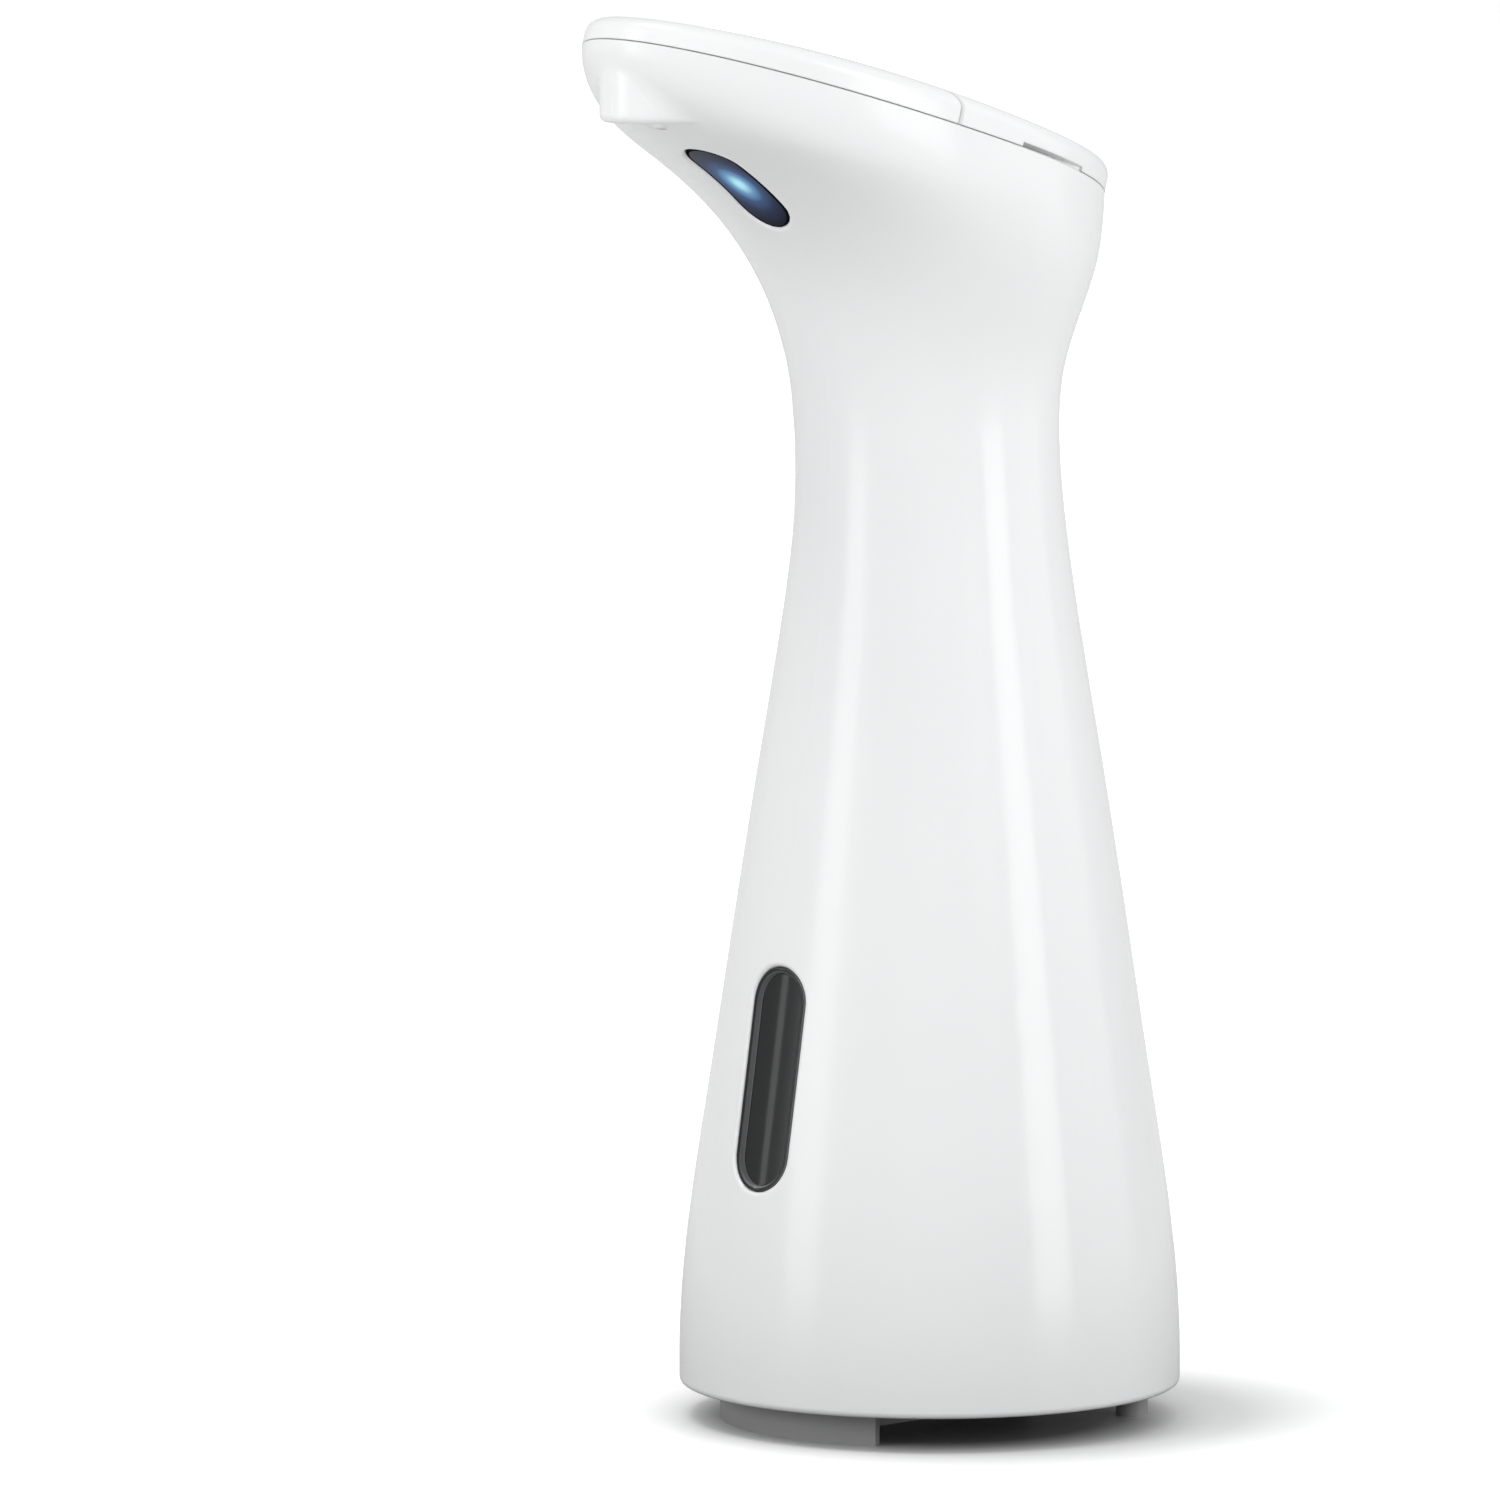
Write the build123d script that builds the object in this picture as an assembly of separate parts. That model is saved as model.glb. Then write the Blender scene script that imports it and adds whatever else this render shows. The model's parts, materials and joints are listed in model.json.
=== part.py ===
from build123d import *
from functools import lru_cache
import math
import os

# Free-standing touchless soap dispenser.  Millimetres, +Z up, front towards -Y.
# The origin is on the standing plane, on the axis of the round base.
# Distances called "forward" are measured towards the front, so Y = -forward.

# ---- overall form of the moulded housing -------------------------------------------------
RIM_Z = 4.8                 # lower edge of the white housing above the standing plane
BASE_RADIUS = 35.1
WAIST_HALF_WIDTH = 18.4
WAIST_FRONT = 19.2
WAIST_REAR = -17.4
HEAD_HALF_WIDTH = 26.3
BEAK_REACH = 59.2           # tip of the beak, forward of the base axis
HEAD_REAR = -24.7           # back of the head
SEAM_Z = 176.7              # height of the cover seam over the base axis
SEAM_TILT = 16.3            # the seam plane rises towards the front by this angle
WALL = 2.2                  # moulded wall of the housing
RIM_FILLET = 0.8

# Each station of the loft: forward and height of its front point, the same of its rear
# point, half width, how far forward it is widest, and how full its front half is (ROUND is
# an ellipse, more is blunter).
ROUND = 0.552
SEAM_RISE = math.tan(math.radians(SEAM_TILT))
STATIONS = [
    *[
        (radius, z, -radius, z, radius, 0, ROUND)
        for radius, z in (
            (BASE_RADIUS, RIM_Z),
            (BASE_RADIUS - 0.1, 14),
            (BASE_RADIUS - 1.3, 28),
            (BASE_RADIUS - 4.1, 47),
            (BASE_RADIUS - 7.6, 70),
            (BASE_RADIUS - 11.4, 94),
        )
    ],
    (WAIST_FRONT + 1.4, 114, WAIST_REAR - 3.0, 114, WAIST_HALF_WIDTH + 2.0, 0, ROUND),
    (WAIST_FRONT + 0.1, 127, WAIST_REAR - 1.1, 127, WAIST_HALF_WIDTH + 0.4, 0, ROUND),
    (WAIST_FRONT, 138, WAIST_REAR, 137, WAIST_HALF_WIDTH, 0, 0.57),
    (WAIST_FRONT + 1.0, 149, WAIST_REAR - 0.5, 146, WAIST_HALF_WIDTH + 0.7, 0.5, 0.60),
    (WAIST_FRONT + 4.4, 160, HEAD_REAR + 4.8, 153, HEAD_HALF_WIDTH - 4.6, 1.5, 0.63),
    (BEAK_REACH - 27.8, 170, HEAD_REAR + 2.5, 158.5, HEAD_HALF_WIDTH - 2.1, 3.5, 0.64),
    (BEAK_REACH - 15.5, 178.4, HEAD_REAR + 1.0, 162.5, HEAD_HALF_WIDTH - 0.8, 6, 0.62),
    (BEAK_REACH - 6.2, 183.6, HEAD_REAR + 0.4, 165.2, HEAD_HALF_WIDTH - 0.3, 7.5, 0.575),
    (BEAK_REACH - 1.4, 188.4, HEAD_REAR + 0.1, 167.3, HEAD_HALF_WIDTH - 0.1, 8, ROUND),
    (BEAK_REACH, SEAM_Z + BEAK_REACH * SEAM_RISE, HEAD_REAR, SEAM_Z + HEAD_REAR * SEAM_RISE,
     HEAD_HALF_WIDTH, 8, ROUND),
]

# ---- top cover and battery lid -----------------------------------------------------------
COVER_HEIGHT = 7.0          # crown of the cover over the seam plane
COVER_SAGITTA = 3.2         # how much lower the crown is along its edge
CROWN_SETBACK = 3.0         # how far behind the head's middle the crown is highest
COVER_EDGE_RADIUS = 2.2
COVER_WALL = 2.0
SEAM_GAP = 0.12             # line between the housing and what lies on it
LID_GAP = 0.3               # line between the cover and the battery lid
LID_ARCH_FRONT = 30.2       # front of the lid's arched edge, along the seam plane
LID_ARCH_SIDE = 8.5         # where the arch meets the sides of the head
LIP_DEPTH = 1.2             # tongue of the cover and the lid inside the housing
LIP_WIDTH = 1.2
LIP_GAP = 0.3
SHELF_WIDTH = 2.4           # shelf of the cover under the lid's front edge
SHELF_THICKNESS = 1.4
PRY_HEIGHT = 0.6            # finger-nail slots under the lid's sides
PRY_LENGTH = 14.0
PRY_DEPTH = 3.0

# ---- keys and main board -----------------------------------------------------------------
KEY_RADIUS = 4.3
KEY_SPACING = 14.0
KEY_FORWARD = 41.0          # along the seam plane
KEY_GAP = 0.2
KEY_TRAVEL = 0.5
KEY_FLANGE = 0.7
KEY_FLANGE_THICKNESS = 0.5
SWITCH_SIDE = 5.0
SWITCH_HEIGHT = 0.8
BOARD_THICKNESS = 1.0
MAIN_BOARD_LENGTH = 17.0
MAIN_BOARD_WIDTH = 34.0
MAIN_BOARD_FORWARD = 41.0
BOARD_SCREW_LENGTH = 3.6
BOARD_POST_X = 14.6
BOARD_POST_BACK = 6.0

# ---- sensor under the beak ---------------------------------------------------------------
SENSOR_LENGTH = 19.0
SENSOR_WIDTH = 9.2
SENSOR_FORWARD = 36.0
SENSOR_Z = 173.4
SENSOR_SLOPE = 36.5         # slope of the beak's underside at the sensor
SENSOR_PITCH = 5.2
LED_RADIUS = 1.5
LED_HEIGHT = 1.9
SENSOR_HOLDER_DEPTH = 1.3
SENSOR_HOLDER_GAP = 0.9      # from the flat of the lens to the diodes' holder
SENSOR_BOARD_LENGTH = 13.6
SENSOR_BOARD_WIDTH = 10.0
LENS_RECESS = 0.25
LENS_GAP = 0.1
LENS_FLANGE = 1.0
LENS_FLANGE_THICKNESS = 0.8

# ---- soap level window -------------------------------------------------------------------
WINDOW_LENGTH = 31.3
WINDOW_WIDTH = 10.4
WINDOW_Z = 50.0
WINDOW_RECESS = 0.2
SLOT_FILLET = 0.6           # rounded edge of the housing round either slot
SLOT_REACH = 6.0            # how far a slot's cut reaches either side of the skin
SLOT_RISE = 0.75            # most that the curved skin stands off a slot's plane
WINDOW_RIM = 0.7            # flat rim round the window's sunk face
WINDOW_DISH = 1.0
WINDOW_SOFTENING = 0.45      # rounded lip of the sunk face

# ---- nozzle ------------------------------------------------------------------------------
NOZZLE_FORWARD = 52.4
NOZZLE_Z = 182.6
NOZZLE_BOSS_RADIUS = 6.4
NOZZLE_EDGE_RADIUS = 1.1
NOZZLE_FAIRING = 3.0         # fillet between the boss and the beak
NOZZLE_LIP = 0.9
BOSS_UNDER_SEAM = 1.0        # the boss ends inside the beak, this far under the seam
SOCKET_BASE_Z = 184.6       # socket inside the beak, from the boss up
SOCKET_TOP_Z = 185.3
OUTLET_RADIUS = 2.9
BARREL_RADIUS = 3.9
BARREL_TOP_Z = 191.0
VALVE_RADIUS = 2.7
VALVE_LENGTH = 4.0
VALVE_FLANGE = 1.2
VALVE_CLEAR = 0.2            # between the bill's tip and the lip of the boss
BILL_WIDTH = 3.6
BILL_TIP = 1.0
SLIT_LENGTH = 2.4
SLIT_WIDTH = 0.2

# ---- delivery and suction tubes ----------------------------------------------------------
TUBE_RADIUS = 2.0
TUBE_BORE = 1.3
TUBE_FORWARD = 14.2
TUBE_UNDER_SEAM = 2.4
TUBE_RISE_END = (14.2, 164.0)
TUBE_SLOPE_END = 27.0
TUBE_BEND = 8.0
TUBE_END_FORWARD = 47.0
SUCTION_RADIUS = 2.5
SUCTION_BORE = 1.7
SUCTION_Y = 5.2
SUCTION_END_Z = 16.0

# ---- battery box and cells ---------------------------------------------------------------
CELL_RADIUS = 5.25
CELL_LENGTH = 44.5
CELL_NUB_RADIUS = 1.9
CELL_NUB_LENGTH = 0.8
CELL_PITCH = 11.2
BOX_WALL = 1.2
BOX_Y = 0.6
BOX_FLOOR_Z = 122.5
BOX_FLOOR = 1.5
BOX_TOP_Z = 168.0
CONTACT_SPACE = 3.2
CONTACT_THICKNESS = 0.35
CONTACT_WIDTH = 6.0
BOX_EAR_Z = 163.0
BOX_EAR_THICKNESS = 2.0
BOX_EAR_X = 16.6
BOX_POST_RADIUS = 2.6
BOX_POST_LENGTH = 14.0

# ---- gear pump and motor -----------------------------------------------------------------
GEAR_MODULE = 0.8
GEAR_TEETH = 12
GEAR_THICKNESS = 6.9
GEAR_FIT = 0.06             # running clearance round and over the gears
SHAFT_RADIUS = 1.0
DECK_Z = 77.5
DECK_THICKNESS = 2.0
DECK_GAP = 0.4
PUMP_FLOOR = 2.0
PUMP_WALL = 2.6
PUMP_COVER_THICKNESS = 4.0
PUMP_NOSE_WIDTH = 8.0
PUMP_SCREW_X = 7.3
PUMP_EAR_RADIUS = 2.2
MOTOR_RADIUS = 10.0
MOTOR_FLAT = 15.2
MOTOR_LENGTH = 25.0
STRAP_THICKNESS = 0.8
STRAP_WIDTH = 6.0
STRAP_SCREW_X = 13.2        # from the motor's axis
STRAP_SCREW_LENGTH = 4.0
TAG_X = 7.2                 # solder tags, from the motor's axis
SEAL_RADIUS = 3.0
SEAL_THICKNESS = 2.0
BARB_LENGTH = 6.0
BARB_FIT = 0.03

# ---- reservoir and base ------------------------------------------------------------------
TANK_GAP = 0.5
TANK_WALL = 1.6
TANK_BOTTOM_Z = 9.0
TANK_TOP_Z = 75.0
GROMMET_RADIUS = 4.5
GROMMET_THICKNESS = 3.2
BASE_PLATE_Z = 5.4
BASE_PLATE_THICKNESS = 2.0
BASE_PLATE_GAP = 0.5
BASE_RING_HEIGHT = 5.6
BASE_RING_WALL = 1.8
BASE_RING_GAP = 0.25
LEDGE_DEPTH = 1.1
LEDGE_HEIGHT = 1.2
LEDGE_WIDTH = 12.0
LUG_GAP = 0.3
LUG_COUNT = 3
BASE_TWIST = 60.0           # turn that frees the base cover
BASE_DROP = 6.0             # how far its ramps lower it in that turn
FOOT_RADIUS = 29.7
FOOT_WALL = 2.2
FOOT_HALF_ANGLE = 33.0
PEG_RADIUS = 2.25
PEG_CIRCLE = 28.4
PEG_ANGLE = 137.5
GRIP_WIDTH = 6.0             # bar across the underside, level with the feet
GRIP_LENGTH = 32.0

# ---- fasteners ---------------------------------------------------------------------------
SCREW_RADIUS = 1.0
SCREW_HEAD_RADIUS = 1.9
SCREW_HEAD_HEIGHT = 1.3
SCREW_LENGTH = 6.0
PILOT_FIT = 0.02
TOUCH = 0.02                 # points nearer than this lie on the same line
POST_RADIUS = 2.4

SEAM_NORMAL = Vector(0, math.sin(math.radians(SEAM_TILT)), math.cos(math.radians(SEAM_TILT)))
SEAM = Plane(origin=(0, 0, SEAM_Z), x_dir=(1, 0, 0), z_dir=SEAM_NORMAL).location
OUTLINE_STRETCH = 1 / math.cos(math.radians(SEAM_TILT))


def on_seam(x, forward, up):
    """A place measured in the tilted seam plane."""
    return SEAM * Pos(x, -forward, up)


def bar(radius, bottom, top, x=0.0, y=0.0):
    """An upright round bar between two heights."""
    return Pos(x, y, (bottom + top) / 2) * Cylinder(radius, top - bottom)


def screw(place, length=SCREW_LENGTH):
    """A pan-head screw: the head lies on the place, the shank points along its +Z."""
    head = Pos(0, 0, -SCREW_HEAD_HEIGHT / 2) * Cylinder(SCREW_HEAD_RADIUS, SCREW_HEAD_HEIGHT)
    shank = Pos(0, 0, length / 2) * Cylinder(SCREW_RADIUS, length)
    slot = Pos(0, 0, -SCREW_HEAD_HEIGHT) * Box(2 * SCREW_HEAD_RADIUS, 0.5, 0.8)
    return place * (head + shank - slot)


def pilot(place, length=SCREW_LENGTH):
    """The hole that a screw at the same place takes."""
    depth = length + 0.5
    return place * Pos(0, 0, depth / 2) * Cylinder(SCREW_RADIUS + PILOT_FIT, depth)


# ---- the housing's form ------------------------------------------------------------------
def section(station, inset=0.0):
    """Egg-shaped section: two half ovals that meet where it is widest."""
    front, front_z, rear, rear_z, half_width, widest, fullness = station
    slope = math.atan2(front_z - rear_z, front - rear)
    ahead = (front - widest) / math.cos(slope) - inset
    behind = (widest - rear) / math.cos(slope) - inset
    side = half_width - inset
    plane = Plane(
        origin=(0, -widest, rear_z + (widest - rear) * math.tan(slope)),
        x_dir=(1, 0, 0),
        z_dir=(0, math.sin(slope), math.cos(slope)),
    )
    quarters = [
        quarter_oval(side, behind, ROUND),
        reversed(quarter_oval(-side, behind, ROUND)),
        quarter_oval(-side, -ahead, fullness),
        reversed(quarter_oval(side, -ahead, fullness)),
    ]
    edges = [
        Edge.make_bezier(*[plane.from_local_coords(Vector(x, y)) for x, y in quarter])
        for quarter in quarters
    ]
    return Face(Wire(edges))


def quarter_oval(side, end, fullness):
    """Control points of a quarter oval from its side to its end."""
    return [(side, 0), (side, fullness * end), (fullness * side, end), (0, end)]


def inset_stations(depth):
    """The stations moved inwards, square to the front and rear profiles."""
    moved = []
    for i, station in enumerate(STATIONS):
        below = STATIONS[max(i - 1, 0)]
        above = STATIONS[min(i + 1, len(STATIONS) - 1)]
        front_run = Vector(above[0] - below[0], above[1] - below[1]).normalized() * depth
        rear_run = Vector(above[2] - below[2], above[3] - below[3]).normalized() * depth
        moved.append((
            station[0] - front_run.Y, station[1] + front_run.X,
            station[2] + rear_run.Y, station[3] - rear_run.X,
            station[4] - depth, *station[5:],
        ))
    return moved


@lru_cache
def form(depth):
    """The outer form moved inwards; below the skin it runs on past both open ends."""
    if depth == 0:
        return loft([section(station) for station in STATIONS])
    stations = inset_stations(depth)
    sections = [section(station) for station in stations]
    run_down = extrude(sections[0], amount=-RIM_Z)
    run_up = extrude(sections[-1], amount=COVER_HEIGHT)
    return loft(sections) + run_down + run_up


def body_radius(z):
    """Radius of the round lower body at a height."""
    for below, above in zip(STATIONS, STATIONS[1:]):
        if below[1] <= z <= above[1]:
            share = (z - below[1]) / (above[1] - below[1])
            return below[4] + share * (above[4] - below[4])
    return STATIONS[0][4]


def seam_z(forward):
    """Height of the seam plane over a point on the centre line."""
    return SEAM_Z + forward * SEAM_RISE


# ---- places shared by the pieces ---------------------------------------------------------
GEAR_PITCH_RADIUS = GEAR_MODULE * GEAR_TEETH / 2
GEAR_TIP_RADIUS = GEAR_PITCH_RADIUS + GEAR_MODULE
GEAR_X = GEAR_PITCH_RADIUS
PUMP_Z = DECK_Z + DECK_THICKNESS
CHAMBER_Z = PUMP_Z + PUMP_FLOOR
PUMP_COVER_Z = CHAMBER_Z + GEAR_THICKNESS + 2 * GEAR_FIT
MOTOR_Z = PUMP_COVER_Z + PUMP_COVER_THICKNESS
MOTOR_TOP_Z = MOTOR_Z + MOTOR_LENGTH
PUMP_RADIUS = GEAR_TIP_RADIUS + PUMP_WALL
PUMP_SCREW_Y = MOTOR_FLAT / 2 + 0.3 + SCREW_HEAD_RADIUS
BARB_Z = MOTOR_Z + BARB_LENGTH
CELL_Z = BOX_FLOOR_Z + BOX_FLOOR + CONTACT_SPACE
CELL_TOP_Z = CELL_Z + CELL_LENGTH
BOX_HALF = CELL_PITCH / 2 + CELL_RADIUS + BOX_WALL + 0.2
BOX_CORNER = CELL_RADIUS + BOX_WALL + 0.2
CELL_PLACES = [
    (sx * CELL_PITCH / 2, BOX_Y + sy * CELL_PITCH / 2) for sx, sy in ((-1, -1), (1, -1), (1, 1), (-1, 1))
]
LID_CONTACT_Z = CELL_TOP_Z + 0.3
DECK_RADIUS = body_radius(DECK_Z + DECK_THICKNESS) - WALL - DECK_GAP
DECK_POST_CIRCLE = DECK_RADIUS - POST_RADIUS - 0.4
DECK_ANGLES = (30, 150, 270)
SENSOR = Plane(
    origin=(0, -SENSOR_FORWARD, SENSOR_Z),
    x_dir=(1, 0, 0),
    z_dir=(0, -math.sin(math.radians(SENSOR_SLOPE)), -math.cos(math.radians(SENSOR_SLOPE))),
).location
WINDOW_SLOPE = math.degrees(math.atan2(body_radius(28) - body_radius(70), 42))
WINDOW = Plane(
    origin=(0, -body_radius(WINDOW_Z), WINDOW_Z),
    x_dir=(1, 0, 0),
    z_dir=(0, -math.cos(math.radians(WINDOW_SLOPE)), math.sin(math.radians(WINDOW_SLOPE))),
).location
KEY_PLACES = {"plus_key": -KEY_SPACING / 2, "minus_key": KEY_SPACING / 2}
BOARD_TOP = BOARD_THICKNESS
BOARD_POST_PLACES = [(x, MAIN_BOARD_FORWARD - BOARD_POST_BACK) for x in (-BOARD_POST_X, BOARD_POST_X)]
TANK_MOUTH_RADIUS = body_radius(TANK_BOTTOM_Z) - WALL - TANK_GAP - TANK_WALL
BASE_PLATE_TOP = BASE_PLATE_Z + BASE_PLATE_THICKNESS
RING_RADIUS = TANK_MOUTH_RADIUS - LEDGE_DEPTH - BASE_RING_GAP
LEDGE_Z = BASE_PLATE_TOP + 3.0
RAMP_SLOPE = BASE_DROP / (math.radians(BASE_TWIST) * TANK_MOUTH_RADIUS)


def slot_prism(place, length, width, grow, reach):
    """An obround bar standing square to a wall, longer than the wall is thick."""
    outline = SlotOverall(length + 2 * grow, width + 2 * grow, rotation=90)
    return place * extrude(outline, reach, both=True)


def seam_prism(outline, bottom, top):
    """An outline in the seam plane drawn out along its normal between two levels."""
    return Pos(*(SEAM_NORMAL * bottom)) * extrude(outline, top - bottom)


@lru_cache
def egg_cap(inset, drop, bottom):
    """The cover's crowned form over the seam outline, moved inwards and down."""
    return seam_prism(section(STATIONS[-1], inset), bottom, COVER_HEIGHT + 5) & crown(drop)


@lru_cache
def crown(drop):
    """A large flattened ball whose top is the crown of the cover."""
    half_length = (BEAK_REACH - HEAD_REAR) * OUTLINE_STRETCH / 2
    middle = (BEAK_REACH + HEAD_REAR) * OUTLINE_STRETCH / 2 - CROWN_SETBACK
    ball_radius = (HEAD_HALF_WIDTH**2 + COVER_SAGITTA**2) / (2 * COVER_SAGITTA)
    ball = scale(Sphere(ball_radius), by=(1, half_length / HEAD_HALF_WIDTH, 1))
    return on_seam(0, middle, COVER_HEIGHT - drop - ball_radius) * ball


@lru_cache
def lid_region(grow):
    """The part of the seam plane that the battery lid covers, as an upright prism."""
    side = HEAD_HALF_WIDTH + 3 + grow
    front = LID_ARCH_FRONT + grow
    with BuildSketch() as area:
        with BuildLine():
            arch = EllipticalCenterArc(
                (0, -LID_ARCH_SIDE), side, front - LID_ARCH_SIDE, 180, arc_size=180
            )
            Polyline(arch @ 1, (side, 60), (-side, 60), arch @ 0)
        make_face()
    return SEAM * Pos(0, 0, -20) * extrude(area.sketch, 60)


# ---- housing -----------------------------------------------------------------------------
def main_housing():
    inside = form(WALL / 2)
    posts = [
        bar(POST_RADIUS, PUMP_Z, PUMP_Z + SCREW_LENGTH + 3, *deck_post(angle)) for angle in DECK_ANGLES
    ]
    ear_posts = [
        bar(BOX_POST_RADIUS, BOX_EAR_Z - BOX_POST_LENGTH, BOX_EAR_Z, x) & inside
        for x in (-BOX_EAR_X, BOX_EAR_X)
    ]
    socket = bar(NOZZLE_BOSS_RADIUS, SOCKET_BASE_Z, SOCKET_TOP_Z, y=-NOZZLE_FORWARD)
    body = outer_skin() - form(WALL) + socket + posts + ear_posts
    body -= bar(BARREL_RADIUS + 0.1, NOZZLE_Z + NOZZLE_LIP, BARREL_TOP_Z + 3, y=-NOZZLE_FORWARD)
    body -= bar(OUTLET_RADIUS, NOZZLE_Z - 1, NOZZLE_Z + NOZZLE_LIP + 1, y=-NOZZLE_FORWARD)
    for place in deck_screw_places() + ear_screw_places():
        body -= pilot(place)
    return body


@lru_cache
def outer_skin():
    """The outer form with its nozzle boss and slots, and every outer edge rounded."""
    skin = form(0) + nozzle_boss()
    skin = fillet([edge for edge in skin.edges() if is_boss_join(edge)], NOZZLE_FAIRING)
    mouth = [edge for edge in skin.edges() if is_level(edge, NOZZLE_Z)]
    skin = fillet(mouth, NOZZLE_EDGE_RADIUS)
    skin = fillet([edge for edge in skin.edges() if is_level(edge, RIM_Z)], RIM_FILLET)
    skin = slotted(skin, SENSOR, SENSOR_LENGTH, SENSOR_WIDTH)
    return slotted(skin, WINDOW, WINDOW_LENGTH, WINDOW_WIDTH)


def nozzle_boss():
    trim = 4 * NOZZLE_BOSS_RADIUS
    over_seam = on_seam(0, NOZZLE_FORWARD, trim / 2 - BOSS_UNDER_SEAM) * Box(trim, trim, trim)
    return bar(NOZZLE_BOSS_RADIUS, NOZZLE_Z, NOZZLE_Z + trim / 2, y=-NOZZLE_FORWARD) - over_seam


def is_boss_join(edge):
    """Whether an edge is where the boss's side comes out of the beak."""
    off_axis = [math.hypot(point.X, point.Y + NOZZLE_FORWARD) for point in points_on(edge)]
    round_side = all(abs(distance - NOZZLE_BOSS_RADIUS) < TOUCH for distance in off_axis)
    return round_side and edge.length > 1 and not is_level(edge, NOZZLE_Z)


def is_level(edge, z):
    return all(abs(point.Z - z) < TOUCH for point in points_on(edge))


def points_on(edge):
    return [edge @ share for share in (0.0, 0.25, 0.5, 0.75, 1.0)]


def slotted(skin, place, length, width):
    """A slot cut through the skin, with a rounded lip."""
    cut = skin - slot_prism(place, length, width, 0, SLOT_REACH)
    return fillet(rim_edges(cut, place, length, width, 0), SLOT_FILLET)


def rim_edges(solid, place, length, width, depth):
    """The edges round a slot's wall that lie near a depth under the place it was cut from."""
    plane = Plane(place)
    found = []
    for edge in solid.edges():
        points = [plane.to_local_coords(point) for point in points_on(edge)]
        on_wall = all(abs(off_slot(point, length, width)) < TOUCH for point in points)
        near = all(abs(point.Z + depth) < SLOT_RISE for point in points)
        upright = abs(points[0].Z - points[-1].Z) > edge.length / 2
        if on_wall and near and not upright:
            found.append(edge)
    return found


def off_slot(point, length, width):
    """How far outside an obround's outline a point lies."""
    past_centre = max(abs(point.Y) - (length - width) / 2, 0)
    return math.hypot(point.X, past_centre) - width / 2


def deck_post(angle):
    turn = math.radians(angle)
    return DECK_POST_CIRCLE * math.cos(turn), DECK_POST_CIRCLE * math.sin(turn)


def deck_screw_places():
    return [Pos(*deck_post(angle), DECK_Z) for angle in DECK_ANGLES]


def ear_screw_places():
    top = BOX_EAR_Z + BOX_EAR_THICKNESS
    return [Pos(x, 0, top) * Rot(180, 0, 0) for x in (-BOX_EAR_X, BOX_EAR_X)]


# ---- top cover, battery lid and keys -----------------------------------------------------
def rounded_cap(inset, drop, bottom, radius):
    """The cover's form with its upper edge rounded."""
    cap = egg_cap(inset, drop, bottom)
    crest = [e for e in cap.edges() if height_over_seam(e.center()) > COVER_SAGITTA - 1 - drop]
    return fillet(crest, radius)


def height_over_seam(point):
    return (point - SEAM.position).dot(SEAM_NORMAL)


def cap_shell():
    """The cover and the lid as one hollow cap, with the tongue that enters the housing."""
    outer = rounded_cap(0, 0, SEAM_GAP, COVER_EDGE_RADIUS)
    flange_top = SEAM_GAP + LIP_WIDTH
    flange = seam_prism(section(STATIONS[-1], COVER_WALL / 2), SEAM_GAP, flange_top)
    tongue = seam_prism(lip_outline(LIP_GAP), -LIP_DEPTH, flange_top)
    opening = seam_prism(lip_outline(LIP_GAP + LIP_WIDTH), -LIP_DEPTH - 1, flange_top + 1)
    return (outer - egg_cap(COVER_WALL, COVER_WALL, -1)) + (flange + tongue - opening)


def lip_outline(depth):
    """Outline inside the housing's open top, a distance in from its wall."""
    return section(inset_stations(WALL + depth)[-1])


def top_cover(shell):
    cover = shell - lid_region(LID_GAP)
    inset = WALL + 2 * LIP_GAP + LIP_WIDTH
    shelf = egg_cap(inset, COVER_WALL + LID_GAP, SEAM_GAP)
    shelf -= egg_cap(inset - 1, COVER_WALL + LID_GAP + SHELF_THICKNESS, SEAM_GAP - 1)
    shelf &= lid_region(LID_GAP + 1) - lid_region(-SHELF_WIDTH) - rear_half()
    bridge = egg_cap(COVER_WALL - 0.5, COVER_WALL - 0.5, SEAM_GAP)
    bridge -= egg_cap(COVER_WALL, COVER_WALL + LID_GAP + SHELF_THICKNESS, SEAM_GAP - 1)
    bridge &= lid_region(LID_GAP + 1.5) - lid_region(LID_GAP) - rear_half()
    posts = [board_post(place) for place in BOARD_POST_PLACES]
    cover = cover + shelf + bridge + posts
    for x in KEY_PLACES.values():
        cover -= on_seam(x, KEY_FORWARD, COVER_HEIGHT) * Cylinder(KEY_RADIUS + KEY_GAP, 12)
    for place in board_screw_places():
        cover -= pilot(place, BOARD_SCREW_LENGTH)
    return cover


def rear_half():
    """Everything behind the line where the lid's arch meets the sides."""
    return on_seam(0, LID_ARCH_SIDE - 60, 0) * Box(200, 120, 80)


def board_post(place):
    x, forward = place
    post = on_seam(x, forward, BOARD_TOP + 5) * Cylinder(POST_RADIUS, 10)
    return post & egg_cap(COVER_WALL / 2, COVER_WALL / 2, BOARD_TOP)


def board_screw_places():
    return [on_seam(x, forward, 0) for x, forward in BOARD_POST_PLACES]


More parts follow.
